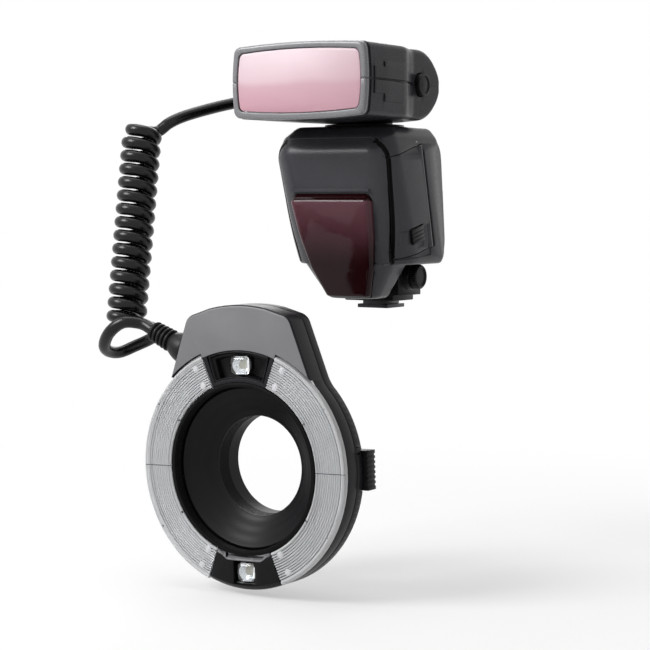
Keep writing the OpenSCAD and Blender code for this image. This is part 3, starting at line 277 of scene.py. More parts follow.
def paint(piece, finish, test, place=Matrix()):
    # a second finish on the faces that pass the test of their spot in the frame, in mm, and their normal
    piece.data.materials.append(made[finish])
    back = inMetres(place).inverted()
    for polygon in piece.data.polygons:
        if test(back @ polygon.center / mm, polygon.normal):
            polygon.material_index = len(piece.data.materials) - 1


def smoothCurve(points, steps):
    line = []
    last = len(points) - 1
    for i in range(last):
        a, b, c, d = points[max(i - 1, 0)], points[i], points[i + 1], points[min(i + 2, last)]
        for t in [k / steps for k in range(steps)]:
            line.append(0.5 * (2 * b + (c - a) * t + (2 * a - 5 * b + 4 * c - d) * t * t
                + (3 * b - a - 3 * c + d) * t * t * t))
    return line + [points[last]]


# the curly cord: its route as the part's source gives it, in millimetres
cord = {"diameter": 6.2, "curlRadius": 7.3, "curls": 14.6, "stepsPerCurl": 20, "start": 143, "sides": 16,
    "top": (-89, -93, 95), "bottom": (-84, -114, -5), "headExit": (-50, -17.5, 117),
    "upper": [(-56, -17.5, 117), (-63, -22, 115), (-69, -32, 111), (-75, -46, 107.5), (-80, -59, 104),
        (-84, -67.5, 101), (-87.5, -73, 97.8)], "upperSteps": 6,
    "lower": [(-76, -98.5, -11.5), (-81.5, -97.5, -14.5), (-88, -101.5, -18), (-93, -108, -21), (-94, -116, -20),
        (-91, -123, -16), (-84, -127, -9), (-76.5, -125.5, -4)], "lowerSteps": 7,
    "gland": (-38.432, -121, -17.308), "glandTurn": 157, "glandLength": 11, "bootLength": 14,
    "easeRounds": 14, "easeReach": 11}


def cordPath():
    top, bottom = Vector(cord["top"]), Vector(cord["bottom"])
    axis = (bottom - top).normalized()
    across = (Vector((1, 0, 0)) - axis.x * axis).normalized()
    inward = across.cross(axis)
    coarse = 8  # the source's steps per curl
    turnsAll = round(cord["curls"] * coarse) / coarse

    def curlPoint(turns):
        a = math.radians(cord["start"]) + 2 * math.pi * turns
        along = top + (bottom - top) * turns / turnsAll
        return along + cord["curlRadius"] * (math.cos(a) * across + math.sin(a) * inward)

    first = (curlPoint(0) - curlPoint(1 / coarse)).normalized() * cord["diameter"]
    last = (curlPoint(turnsAll) - curlPoint(turnsAll - 1 / coarse)).normalized() * cord["diameter"]
    steps = round(turnsAll * cord["stepsPerCurl"])
    coil = [curlPoint(turnsAll * i / steps) for i in range(steps + 1)]
    turn = math.radians(cord["glandTurn"])
    bootDir = Vector((math.cos(turn), 0, math.sin(turn)))
    bootTip = Vector(cord["gland"]) + (cord["glandLength"] + cord["bootLength"]) * bootDir
    upper = smoothCurve([Vector(p) for p in [cord["headExit"]] + cord["upper"]] + [coil[0] + 2 * first,
        coil[0] + first], cord["upperSteps"])
    lower = smoothCurve([coil[-1] + last, coil[-1] + 2 * last] + [Vector(p) for p in cord["lower"]]
        + [bootTip + 1.2 * cord["diameter"] * bootDir, bootTip], cord["lowerSteps"])
    line = upper + coil + lower
    joins = (len(upper), len(upper) + len(coil) + 4)
    # the bends next to the coil's ends are eased, less and less further away
    shares = [max(0, 1 - min(abs(i - j) for j in joins) / cord["easeReach"]) for i in range(len(line))]
    for smoothing in range(cord["easeRounds"]):
        line = [line[0]] + [b + share * ((a + c) / 2 - b) / 2
            for a, b, c, share in zip(line, line[1:], line[2:], shares[1:])] + [line[-1]]
    return line


cordLine = cordPath()
cordPiece = tubePiece("curlyCord", cordLine, cord["diameter"] / 2, cord["sides"])
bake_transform(cordPiece)
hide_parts("cord_upper", "cord_coil", "cord_lower")

# finishes: what each real material is, how it was made, and what that gives the eye
plastics = {  # colour, roughness, grain and relief in mm, spread of tone and sheen, gloss
    "satinAbs": ("#404044", 0.25, 0.9, 0.015, 0.03, 0.16), "charcoalAbs": ("#2d2d31", 0.3, 0.9, 0.02, 0.05, 0.12),
    "blackAbs": ("#121214", 0.32, 0.8, 0.02, 0.05, 0.12), "ringAbs": ("#202023", 0.36, 0.8, 0.02, 0.05, 0.11),
    "boreAbs": ("#09090a", 0.45, 0.8, 0.02, 0.05, 0.08), "faceAbs": ("#737376", 0.40, 0.8, 0.015, 0.03, 0.4),
    "bezelAbs": ("#77777a", 0.26, 0.8, 0.012, 0.03, 0.5), "keyRubber": ("#29292c", 0.6, 0.6, 0.03, 0.06, 0.25),
    "testKeyAbs": ("#6e1418", 0.35, 0.6, 0.01, 0.05, 0.5), "bootRubber": ("#131315", 0.42, 0.6, 0.03, 0.08, 0.2),
    "cordPvc": ("#0b0b0d", 0.28, 3.0, 0.006, 0.04, 0.28), "boardMask": ("#1c5a38", 0.3, 1.2, 0.01, 0.1, 0.5),
    "cellSleeve": ("#b9bbbf", 0.25, 3.0, 0.01, 0.05, 0.5), "capacitorSleeve": ("#1a2a55", 0.25, 3.0, 0.01, 0.05, 0.5),
    "displayPanel": ("#7f8a78", 0.35, 0.7, 0.01, 0.03, 0.5), "ledPhosphor": ("#b3b0a2", 0.5, 0.4, 0.02, 0.08, 0.4),
    "postPlastic": ("#c6c6ca", 0.3, 0.6, 0.01, 0.04, 0.4), "seatPlastic": ("#d9dade", 0.3, 1.5, 0.01, 0.03, 0.5)}
metals = {  # colour, roughness, width of the drawn lines in mm, metallic
    "reflectorFoil": ("#eceef1", 0.3, 0.8, 0.5), "nickel": ("#b7b5b0", 0.25, 0.5, 1.0),
    "goldPlate": ("#c9b077", 0.28, 0.4, 1.0), "coatedSteel": ("#303034", 0.34, 0.6, 0.6)}
acrylics = {  # colour, roughness, transmission, index of refraction
    "clearPmma": ("#f6f8f9", 0.03, 1.0, 1.49), "tubeGlass": ("#f2f5f6", 0.04, 0.8, 1.46),
    "displayGlass": ("#3b4046", 0.05, 0.6, 1.5), "prismPmma": ("#f2f3f5", 0.06, 0.45, 1.49),
    "prismShade": ("#66676b", 0.1, 0.2, 1.49)}
made = {}


def newMaterial(name):
    material = bpy.data.materials.new(name)
    material.use_nodes = True
    made[name] = material
    return material.node_tree, addNode(material.node_tree, "TexCoord")["Object"]


def skin(tree, color, tone, sheen, relief, **values):
    # what all finishes share: tone and sheen are (pattern, from, to, low, high), relief is (pattern, strength, mm)
    # a colour in hex varies with the tone; a socket gives its colour as it is
    shader = tree.nodes["Principled BSDF"].inputs
    labels = ("Value", "From Min", "From Max", "To Min", "To Max")
    if tone:
        value = addNode(tree, "MapRange", dict(zip(labels, tone)))
        color = addNode(tree, "HueSaturation", {"Color": linearColor(color), "Value": value["Result"]})["Color"]
    gloss = addNode(tree, "MapRange", dict(zip(labels, sheen)))
    bump = addNode(tree, "Bump", {"Height": relief[0], "Strength": relief[1], "Distance": relief[2] * mm})
    for label, socket in [("Base Color", color), ("Roughness", gloss["Result"]), ("Normal", bump["Normal"])]:
        tree.links.new(socket, shader[label])
    for label, value in values.items():
        shader[label].default_value = value


def mouldedPlastic(name, color, rough, grain, depth, spread, gloss):
    # moulded plastic or rubber: an even satin skin with a fine spark grain that breaks up the gloss
    # the real grain is about 0.1 mm, too fine to show, so it is drawn at the coarser size given
    tree, place = newMaterial(name)
    fine = addNode(tree, "TexNoise", {"Vector": place, "Scale": 1000 / grain, "Detail": 3.0, "Roughness": 0.6})["Fac"]
    broad = addNode(tree, "TexNoise", {"Vector": place, "Scale": 1000 / 22, "Detail": 3.0, "Roughness": 0.55})["Fac"]
    skin(tree, color, (broad, 0.3, 0.7, 1 - 2 * spread, 1 + 2 * spread),
        (fine, 0.3, 0.7, rough - spread, rough + spread), (fine, 0.3, depth),
        **{"IOR": 1.5, "Specular IOR Level": gloss})


def drawnMetal(name, color, rough, line, metallic):
    # rolled or plated metal: fine lines along X that smear the highlights across
    tree, place = newMaterial(name)
    stretch = addNode(tree, "Mapping", {"Vector": place, "Scale": (0.06, 1, 1)})["Vector"]
    lines = addNode(tree, "TexNoise", {"Vector": stretch, "Scale": 1000 / line, "Detail": 4.0,
        "Roughness": 0.65})["Fac"]
    skin(tree, color, (lines, 0.3, 0.7, 0.88, 1.08), (lines, 0.3, 0.7, rough * 0.7, rough * 1.4), (lines, 0.15, 0.02),
        Metallic=metallic)


def acrylicSkin(tree, place, color, tone, rough, **values):
    # polished acrylic or glass: hard clear gloss, a slow flow in the surface and faint handling marks
    flow = addNode(tree, "TexNoise", {"Vector": place, "Scale": 1000 / 14, "Detail": 2.0})["Fac"]
    marks = addNode(tree, "TexNoise", {"Vector": place, "Scale": 1000 / 4, "Detail": 5.0})["Fac"]
    skin(tree, color, tone and (marks, *tone), (marks, 0.35, 0.75, rough, rough + 0.07), (flow, 0.1, 0.15), **values)


def polishedAcrylic(name, color, rough, through, ior):
    acrylicSkin(*newMaterial(name), color, (0.3, 0.7, 0.95, 1.0), rough, **{"IOR": ior, "Transmission Weight": through})


def heightWander(tree, place, size, far):
    # the height, made a little uneven by a soft cloud, with the cloud and the plain parts
    parts = addNode(tree, "SeparateXYZ", {"Vector": place})
    cloud = addNode(tree, "TexNoise", {"Vector": place, "Scale": 1000 / size, "Detail": 2.0})["Fac"]
    return addNode(tree, "Math", {0: cloud, 1: far, 2: parts["Z"]}, operation="MULTIPLY_ADD")[0], cloud, parts


def redWindow(name, upper, lower, rises=(0.026, 0.062), shadeStepAt=(0.0568, 0.0576)):
    # dyed acrylic, glossy dark red, with painted light: a painted reflection makes it paler towards the top, and a
    # painted shade band darkens the step along the top
    tree, place = newMaterial(name)
    wander, cloud, parts = heightWander(tree, place, 20, 0.008)
    height = addNode(tree, "MapRange", {"Value": wander, "From Min": rises[0], "From Max": rises[1]},
        interpolation_type="SMOOTHSTEP")["Result"]
    # painted shade: the band above the step along the top gets the darker colour
    step = addNode(tree, "MapRange", {"Value": parts["Z"], "From Min": shadeStepAt[0], "From Max": shadeStepAt[1], "To Min": 1.0,
        "To Max": 0.0})["Result"]
    paintedLightShare = addNode(tree, "Math", {0: height, 1: step}, operation="MULTIPLY")[0]
    color = addNode(tree, "Mix", {0: paintedLightShare, 6: linearColor(lower), 7: linearColor(upper)}, data_type="RGBA")[2]
    acrylicSkin(tree, place, color, None, 0.05, **{"IOR": 1.49, "Specular IOR Level": 0.16})


def anodisedTurning(name, color, rough, pitch, center):
    # turned and anodised aluminium: a satin black with fine tool rings round the axis
    # the real feed is about 0.1 mm; the rings are drawn at the wider pitch given so that they show
    tree, place = newMaterial(name)
    middle = addNode(tree, "Mapping", {"Vector": place, "Location": tuple(-c * mm for c in center)})["Vector"]
    rings = addNode(tree, "TexWave", {"Vector": middle, "Scale": 1000 / (20 * pitch), "Distortion": 0.4, "Detail": 2.0},
        wave_type="RINGS", rings_direction="Y")["Fac"]
    broad = addNode(tree, "TexNoise", {"Vector": place, "Scale": 1000 / 18, "Detail": 3.0})["Fac"]
    skin(tree, color, (broad, 0.3, 0.7, 0.9, 1.1), (rings, 0.0, 1.0, rough - 0.05, rough + 0.07), (rings, 0.2, 0.02),
        **{"Specular IOR Level": 0.12})


def ribbedDiffuser(name, upper, lower, side, pitch, rises=(0.1035, 0.137), stops=((0.44, 0.22), (0.54, 0.62))):
    # moulded diffuser sheet: milky pink with fine upright ribs; a painted reflection of a soft box makes it paler over
    # the upper half, less so towards the right
    tree, place = newMaterial(name)
    wander, cloud, parts = heightWander(tree, place, 30, 0.006)
    height = addNode(tree, "MapRange", {"Value": wander, "From Min": rises[0], "From Max": rises[1]})["Result"]
    paintedReflectionRamp = addNode(tree, "ValToRGB", {"Fac": height})["Color"]
    ramp = paintedReflectionRamp.node.color_ramp.elements
    low, high = linearColor(lower), linearColor(upper)
    ramp[0].color, ramp[1].color = low, high
    for position, share in stops:
        ramp.new(position).color = [a + (b - a) * share for a, b in zip(low, high)]
    # painted reflection: towards the right the colour is mixed halfway to the plainer side colour
    across = addNode(tree, "MapRange", {"Value": parts["X"], "From Min": -0.03, "From Max": 0.04,
        "To Max": 0.5})["Result"]
    color = addNode(tree, "Mix", {0: across, 6: paintedReflectionRamp, 7: linearColor(side)}, data_type="RGBA")[2]
    ribs = addNode(tree, "TexWave", {"Vector": place, "Scale": 1000 / (20 * pitch)}, wave_type="BANDS",
        bands_direction="X")["Fac"]
    skin(tree, color, None, (cloud, 0.0, 1.0, 0.3, 0.42), (ribs, 0.15, 0.05),
        **{"IOR": 1.49, "Specular IOR Level": 0.4})


for make, table in [(mouldedPlastic, plastics), (drawnMetal, metals), (polishedAcrylic, acrylics)]:
    for name, values in table.items():
        make(name, *values)
anodisedTurning("anodisedAluminium", "#141416", 0.4, 0.7, (0, 0, -72))
ribbedDiffuser("pinkDiffuser", "#dccad0", "#bd8f9c", "#bd96a1", 1.5)
redWindow("redPmma", "#5a3840", "#20080c")

# solids that show as they are
wears = {"blackAbs": ["battery_tray"], "boardMask": ["main_board", "ring_board"], "cellSleeve": ["battery_cells"],
    "capacitorSleeve": ["main_capacitor"], "displayPanel": ["display_module"], "clearPmma": ["assist_lamps"],
    "reflectorFoil": ["head_reflector", "reflector_left", "reflector_right"],
    "tubeGlass": ["head_tube", "flash_tube_left", "flash_tube_right"], "ledPhosphor": ["lamp_leds"],
    "nickel": ["door_hinge_pin", "lock_pin", "swivel_retainer"], "goldPlate": ["door_contacts", "foot_contacts"]}
for finish, names in wears.items():
    for name in names:
        nodes[name].data.materials.clear()
        nodes[name].data.materials.append(made[finish])
cordPiece.data.materials.append(made["cordPvc"])
print("finishes set")


def easedNode(node, finish, width):
    # the CAD solid again, merged, with its flat faces whole and its edges rounded
    words = node.split("_")
    work = bmesh.new()
    work.from_mesh(nodes[node].data)
    bmesh.ops.remove_doubles(work, verts=work.verts, dist=0.002 * mm)
    bmesh.ops.dissolve_limit(work, angle_limit=math.radians(1), verts=work.verts, edges=work.edges)
    work.verts.index_update()
    mesh = bpy.data.meshes.new(node)
    mesh.from_pydata([v.co[:] for v in work.verts], [], [[v.index for v in f.verts] for f in work.faces])
    work.free()
    piece = addObject(words[0] + "".join(word.title() for word in words[1:]), mesh)
    soften(piece, width)
    dress(piece, finish, node)
    return piece


def startTree(name, *sizes):
    # a Geometry Nodes tree with named inputs for its sizes
    tree = bpy.data.node_groups.new(name, "GeometryNodeTree")
    rows = [("Geometry", "Geometry")] + [(label, "Int" if label == "Count" else "Float") for label in sizes]
    for label, kind in rows + [("Material", "Material")]:
        tree.interface.new_socket(label, in_out="INPUT", socket_type="NodeSocket" + kind)
    tree.interface.new_socket("Geometry", in_out="OUTPUT", socket_type="NodeSocketGeometry")
    return tree, addNode(tree, "NodeGroupInput")


def endTree(tree, given, shape, points=None):
    # the shape on each point, if there are any, made real and painted
    if points is not None:
        shape = addNode(tree, "GeometryNodeInstanceOnPoints", {"Points": points, "Instance": shape})["Instances"]
    real = addNode(tree, "GeometryNodeRealizeInstances", {"Geometry": shape})["Geometry"]
    painted = addNode(tree, "GeometryNodeSetMaterial", {"Geometry": real, "Material": given["Material"]})
    addNode(tree, "NodeGroupOutput", {"Geometry": painted["Geometry"]})
    return tree


def pegTree():
    # a round peg with a domed end on each point
    tree, given = startTree("pegs", "Radius", "Length", "Dome")
    peg = addNode(tree, "GeometryNodeMeshCylinder", {"Vertices": 20, "Radius": given["Radius"],
        "Depth": given["Length"]})
    ball = addNode(tree, "GeometryNodeMeshUVSphere", {"Segments": 20, "Rings": 10, "Radius": given["Radius"]})
    squeeze = addNode(tree, "CombineXYZ", {"X": 0.97, "Y": 0.97, "Z": given["Dome"]})
    raised = addNode(tree, "Math", {0: given["Length"], 1: 0.5}, operation="MULTIPLY")
    place = addNode(tree, "CombineXYZ", {"Z": raised[0]})
    dome = addNode(tree, "GeometryNodeTransform", {"Geometry": ball["Mesh"], "Translation": place[0],
        "Scale": squeeze[0]})
    both = addNode(tree, "GeometryNodeJoinGeometry", {0: [peg["Mesh"], dome["Geometry"]]})
    return endTree(tree, given, both[0], given["Geometry"])


def knurlTree():
    # rounded ridges all round a circle, each along the axis
    tree, given = startTree("knurls", "Count", "Circle", "Ridge", "Length")
    circle = addNode(tree, "GeometryNodeMeshCircle", {"Vertices": given["Count"], "Radius": given["Circle"]})
    ridge = addNode(tree, "GeometryNodeMeshCylinder", {"Vertices": 8, "Radius": given["Ridge"],
        "Depth": given["Length"]})
    return endTree(tree, given, ridge["Mesh"], circle["Mesh"])


def ribTree():
    # round ribs along a tapering boot: Start and End are the ribs' circles
    tree, given = startTree("ribs", "Count", "Pitch", "Rib", "Start", "End")
    step = addNode(tree, "CombineXYZ", {"Z": given["Pitch"]})
    row = addNode(tree, "GeometryNodeMeshLine", {"Count": given["Count"], "Offset": step[0]})
    circle = addNode(tree, "GeometryNodeCurvePrimitiveCircle", {"Resolution": 40, "Radius": 1.0})
    index = addNode(tree, "GeometryNodeInputIndex")
    last = addNode(tree, "Math", {0: given["Count"], 1: 1}, operation="SUBTRACT")
    radius = addNode(tree, "MapRange", {"Value": index[0], "From Max": last[0], "To Min": given["Start"],
        "To Max": given["End"]})
    spread = addNode(tree, "GeometryNodeInstanceOnPoints", {"Points": row["Mesh"], "Instance": circle["Curve"],
        "Scale": radius["Result"]})
    real = addNode(tree, "GeometryNodeRealizeInstances", {"Geometry": spread["Instances"]})
    section = addNode(tree, "GeometryNodeCurvePrimitiveCircle", {"Resolution": 10, "Radius": given["Rib"]})
    tube = addNode(tree, "GeometryNodeCurveToMesh", {"Curve": real["Geometry"], "Profile Curve": section["Curve"]})
    return endTree(tree, given, tube["Mesh"])


def screwTree():
    # a pan head with a cross recess on each point
    tree, given = startTree("screws", "Radius", "Depth")
    pan = addNode(tree, "GeometryNodeMeshCylinder", {"Vertices": 28, "Radius": given["Radius"],
        "Depth": given["Depth"]})
    width, reach, sink = [addNode(tree, "Math", {0: given[label], 1: share}, operation="MULTIPLY")[0]
        for label, share in [("Radius", 0.26), ("Radius", 1.15), ("Depth", -0.5)]]
    lower = addNode(tree, "CombineXYZ", {"Z": sink})
    bars = []
    for x, y in [(width, reach), (reach, width)]:
        size = addNode(tree, "CombineXYZ", {"X": x, "Y": y, "Z": given["Depth"]})
        bar = addNode(tree, "GeometryNodeMeshCube", {"Size": size[0]})
        low = addNode(tree, "GeometryNodeTransform", {"Geometry": bar["Mesh"], "Translation": lower[0]})
        bars.append(low["Geometry"])
    cross = addNode(tree, "GeometryNodeMeshBoolean", {"Mesh 1": pan["Mesh"], "Mesh 2": bars}, operation="DIFFERENCE",
        solver="EXACT")
    return endTree(tree, given, cross["Mesh"], given["Geometry"])


trees = {"pegs": pegTree(), "knurls": knurlTree(), "ribs": ribTree(), "screws": screwTree()}


def repeated(name, tree, finish, place, body, slot, points=(), **sizes):
    # runs a tree in the frame given; sizes are in millimetres, counts and shares as they are
    piece = addObject(name, meshFrom(name, points, []))
    change = piece.modifiers.new("repeat", "NODES")
    change.node_group = trees[tree]
    for item in trees[tree].interface.items_tree:
        if item.in_out == "INPUT" and item.name == "Material":
            change[item.identifier] = made[finish]
        elif item.in_out == "INPUT" and item.name in sizes:
            plain = item.name in ("Count", "Dome")
            change[item.identifier] = sizes[item.name] if plain else sizes[item.name] * mm
    bake(piece)
    piece.data.transform(inMetres(place))
    shadeSmooth(piece, 40)
    dress(piece, finish, body=body, slot=slot)  # this also clears the empty slot that the bake leaves
    return piece


def tableAt(table, z):
    if z <= table[0][0]:
        return table[0][1:]
    for low, high in zip(table, table[1:]):
        if z <= high[0]:
            t = (z - low[0]) / (high[0] - low[0])
            return [a + (b - a) * t for a, b in zip(low[1:], high[1:])]
    return table[-1][1:]


def easedAt(table, z, reach):
    # the table's kinks become round: the mean over a stretch, which shrinks towards the ends
    near = min(reach, z - table[0][0], table[-1][0] - z)
    rows = [tableAt(table, z + near * k / 4) for k in range(-4, 5)]
    return [sum(column) / len(rows) for column in zip(*rows)]


def sectionLoop(half, front, back, frontRadius, backRadius, z, steps=10):
    loop = []
    for side, y, r, start in [(1, front, frontRadius, -90), (1, back, backRadius, 0), (-1, back, backRadius, 90),
            (-1, front, frontRadius, 180)]:
        r = max(r, 0.4)
        middle = Vector((side * (half - r), y + r if y == front else y - r))
        for a in [math.radians(start + 90 * k / steps) for k in range(steps + 1)]:
            loop.append((middle.x + r * math.cos(a), middle.y + r * math.sin(a), z))
    return loop


def sectionSolid(table, inset=0.0, reach=8.0, lowEdge=1.5, highEdge=2.0, step=1.2):
    # a loft up the table's sections, with both ends rounded
    low, high = table[0][0] + inset, table[-1][0] - inset
    bends = [math.radians(18 * k) for k in range(6)]
    plain = high - highEdge - low - lowEdge
    count = max(2, round(plain / step))
    levels = [(low + lowEdge * (1 - math.cos(a)), lowEdge * (1 - math.sin(a))) for a in bends]
    levels += [(low + lowEdge + plain * k / count, 0.0) for k in range(1, count)]
    levels += [(high - highEdge + highEdge * math.sin(a), highEdge * (1 - math.cos(a))) for a in bends]
    loops = []
    for z, draw in levels:
        half, front, back, frontRadius, backRadius = easedAt(table, z, reach)
        d = inset + draw
        loops.append(sectionLoop(half - d, front + d, back - d, frontRadius - d, backRadius - d, z))
    return loft(loops)


# control unit: sections are height, half width, front, back, front and back corner radius
unit = {"half": 36.5, "sections": [(24, 34, -40, 9.25, 18, 6), (30, 36.5, -42.5, 11.26, 22, 8),
        (43, 36.5, -47, 10.2, 20, 8), (86, 36.5, -56, 6.7, 12.5, 8), (95.5, 29, -45, 3.7, 9, 6)],
    "nose": [(6, 15, -34, -17, 8, 3), (24.6, 27, -41, -17, 11, 3)],
    "window": [(7, 13, -35.6, -27.6, 3, 1), (22, 19, -42, -34, 3, 1), (40, 22.5, -48.5, -40.5, 3, 1),
        (57, 24, -53.93, -45.93, 3, 1), (61, 22, -50.23, -45.93, 2, 1)], "windowWall": 1.6, "windowGap": 0.15,
    "wall": 2.2, "seam": (0, -40.5, 43), "seamLean": 13.5, "rear": (0, 10.2, 43), "rearLean": 4.653, "edge": 0.3,
    "ridge": ((-24.5, 90.9), (-12.6, 47.2)), "taper": 6, "seamGap": 0.1, "grooveWide": 2.2, "grooveDeep": 1.6,
    "grooveFrom": 28, "grooveLow": -19.5,
    "thumb": [(-35.5, 26.5), (-35.5, 40.9), (-12, 45.5), (-9, 31), (-9, 29)], "thumbDeep": 0.8,
    "thumbAcross": (20, 44),
    "lip": (0, -51.1, 62.6), "lipLean": 11.8, "lipBox": ((-23.5, -1.3, -0.75), (23.5, 1.5, 0.75)),
    "neckAxis": (0, -17.5, 0), "neckHole": (15.06, 80, 110)}
# battery door in the seam's frame, and what passes through the back panel in its own frame
door = {"hinge": (33.2, 28.6), "barrel": 3.3, "low": -17, "high": 37, "reach": 28.1, "gap": 0.3, "inner": 20,
    "outer": 42, "pinHole": 1.06, "latch": ((35.2, 8.8, -14.3), (40, 21.4, -2.7)),
    "slot": ((33.2, 28.6, -17.3), (40, 32.2, 37.3))}
panel = {"display": ((-24.15, -4, 18.35), (24.15, 2, 41.65)), "switch": ((12.2, -4, -10.8), (24.3, 2, -6.2)),
    "softKeys": (-19.5, -6.5, 6.5, 19.5), "keyHalf": 5.3, "keyRows": (9.7, 15.3), "deep": (-4, 2),
    "roundKeys": [(-20, 2, 4.3), (20, 2, 4.3), (0, -2, 5.1)], "dial": (0, 0, -2),
    "boss": [(4.5, -2.0), (5.7, -2.0), (5.7, 3.2), (6.4, 3.2), (6.4, 3.9), (4.5, 3.9)]}
seamFrame = turned(unit["seamLean"], "X", unit["seam"])
rearFrame = turned(unit["rearLean"], "X", unit["rear"])
far, above = 60, 80  # beyond the unit in the seam's frame


def doorShape(grow):
    # the door from above: an arc about the hinge in front, flat behind
    x0, y0 = door["hinge"]
    reach = door["reach"] + grow
    arc = [(x, y0 - math.sqrt(reach ** 2 - (x - x0) ** 2)) for x in [door["inner"] + 2.2 * k for k in range(11)]]
    return prism(arc + [(door["outer"], y0), (door["inner"], y0)], door["low"] - grow, door["high"] + grow)


def barrelShape(grow):
    return rodShape((*door["hinge"], 0), (0, 0, 1), door["barrel"] + grow, door["low"] - grow, door["high"] + grow)


def taperShape(side, inset):
    # the wedge that comes off a side behind its ridge line
    top, low = [Vector(p) for p in unit["ridge"]]
    along = (top - low).normalized()
    behind = Vector((along.y, -along.x))
    slope = math.tan(math.radians(unit["taper"]))
    wide = unit["half"] - inset
    loop = [(wide + slope, -1), (wide - far * slope, far), (70, far), (70, -1)]
    return loft([[(side * x, *(low + along * t + behind * s)) for x, s in loop] for t in (-above, above)])


def shellDone(piece, node):
    # painted shade: the seam's groove gets the black finish, for the shade in the gap between the shells
    soften(piece, unit["edge"])
    dress(piece, "satinAbs", node)
    reach = unit["grooveWide"] / 2 + 0.02
    paint(piece, "boreAbs", lambda spot, normal: abs(spot.y - unit["seamGap"] / 2) < reach
        and abs(spot.x) > unit["grooveFrom"] - 1 and spot.z > unit["grooveLow"], seamFrame)


hollow = solidPiece("hollow", sectionSolid(unit["sections"]))
core = solidPiece("core", sectionSolid(unit["sections"], inset=unit["wall"], lowEdge=0.5, highEdge=0.5, step=2.4))
for side in (-1, 1):
    carve(hollow, taperShape(side, 0))
    carve(core, taperShape(side, unit["wall"]))
carve(hollow, core)
front, back = [unit["seamGap"] / 2 + side * unit["grooveWide"] / 2 for side in (-1, 1)]
groove = joinShapes([boxShape((side * unit["grooveFrom"], front, -far), (side * far, back, above)) for side in (-1, 1)])
thumb = sidePrism(unit["thumb"], *unit["thumbAcross"])
for sunk, deep in [(placed(groove, seamFrame), unit["grooveDeep"]), (thumb, unit["thumbDeep"])]:
    relief = solidPiece("relief", sunk)
    carve(relief, sectionSolid(unit["sections"], inset=deep, lowEdge=1.0, highEdge=1.5))
    carve(hollow, relief)

frontShell = addObject("frontShell", hollow.data.copy())
carve(frontShell, boxShape((-far, -far, -far), (far, 0, above)), how="INTERSECT", place=seamFrame)
carve(frontShell, sectionSolid(unit["nose"], reach=0, lowEdge=2.0, highEdge=0.2), how="UNION")
carve(frontShell, sectionSolid(unit["window"], inset=-unit["windowGap"], reach=1.5, lowEdge=0.3, highEdge=0.3))
carve(frontShell, boxShape(*unit["lipBox"]), how="UNION", place=turned(unit["lipLean"], "X", unit["lip"]))
shellDone(frontShell, "front_shell")

rearShell = addObject("rearShell", hollow.data.copy())
carve(rearShell, boxShape((-far, unit["seamGap"], -far), (far, above, above)), how="INTERSECT", place=seamFrame)
carve(rearShell, doorShape(door["gap"]), barrelShape(door["gap"]), boxShape(*door["slot"]), place=seamFrame)
carve(rearShell, rodShape(unit["neckAxis"], (0, 0, 1), *unit["neckHole"]))
inside, outside = panel["deep"]
low, high = panel["keyRows"]
carve(rearShell, boxShape(*panel["display"]), boxShape(*panel["switch"]),
    *[boxShape((x - panel["keyHalf"], inside, low), (x + panel["keyHalf"], outside, high)) for x in panel["softKeys"]],
    *[rodShape((x, 0, z), (0, 1, 0), radius, inside, outside) for x, z, radius in panel["roundKeys"]], place=rearFrame)
carve(rearShell, turnShape(panel["boss"], 64), how="UNION", place=rearFrame @ turned(-90, "X", panel["dial"]))
shellDone(rearShell, "rear_shell")

batteryDoor = addObject("batteryDoor", hollow.data.copy())
carve(batteryDoor, doorShape(0), how="INTERSECT", place=seamFrame)
carve(batteryDoor, barrelShape(0), how="UNION", place=seamFrame)
carve(batteryDoor, rodShape((*door["hinge"], 0), (0, 0, 1), door["pinHole"], -20, 40, sides=24),
    boxShape(*door["latch"]), place=seamFrame)
shellDone(batteryDoor, "battery_door")
bpy.data.objects.remove(hollow)

assistWindow = solidPiece("assistWindow", sectionSolid(unit["window"], reach=1.2, lowEdge=1.0, highEdge=0.6, step=0.8))
openBack = [(z, half, front, back + 6, *radii) for z, half, front, back, *radii in unit["window"]]
carve(assistWindow, sectionSolid(openBack, inset=unit["windowWall"], reach=1.2, lowEdge=0.3, highEdge=0.3))
soften(assistWindow, 0.25)
dress(assistWindow, "redPmma", "assist_window")
print("control unit made")

# flash head: bowed sections along Y, a slope to the cheeks and a round drum about the tilt axis
head = {"tiltY": -17.5, "tiltZ": 117, "half": 39, "cheek": 34, "drum": 19.7, "bulge": 1.4, "crown": 1.6, "corner": 3.0,
    "front": -79, "slopeFrom": -41.5, "slopeLong": 16, "bowFrom": -62, "bowLong": 36, "wall": 2.2, "edge": 0.18,
    "slot": 13.4, "slotRadius": 21.85, "axleHole": 6.06, "collar": -77.3, "collarDeep": 0.7,
    "buttonPocket": (6.3, 28.5, 50), "glandHole": (5.3, -50, -30.8), "parting": 0.5, "partingDeep": 0.7,
    "panelRise": 0.55, "panel": [(-75, 110), (-65, 110), (-65, 106.2), (-44.5, 106.2), (-44.5, 126), (-65, 126),
        (-65, 123.3), (-75, 123.3)],
    "nose": -82, "border": 3.4, "noseEdge": 1.4, "noseInset": 0.3, "notchLow": 116.7, "notchHigh": 117.3,
    "window": [(-79, 3.8, 2.1), (-80.9, 3.8, 2.1), (-81.35, 4.0, 2.1), (-81.5, 4.45, 2.0)],
    "button": [(0.01, 31), (6, 31), (6, 35.7), (5.7, 36.3), (5.2, 36.5), (4.7, 36.3), (4.4, 35.9), (3.6, 35.95),
        (2.4, 36.1), (1.2, 36.2), (0.01, 36.22)]}


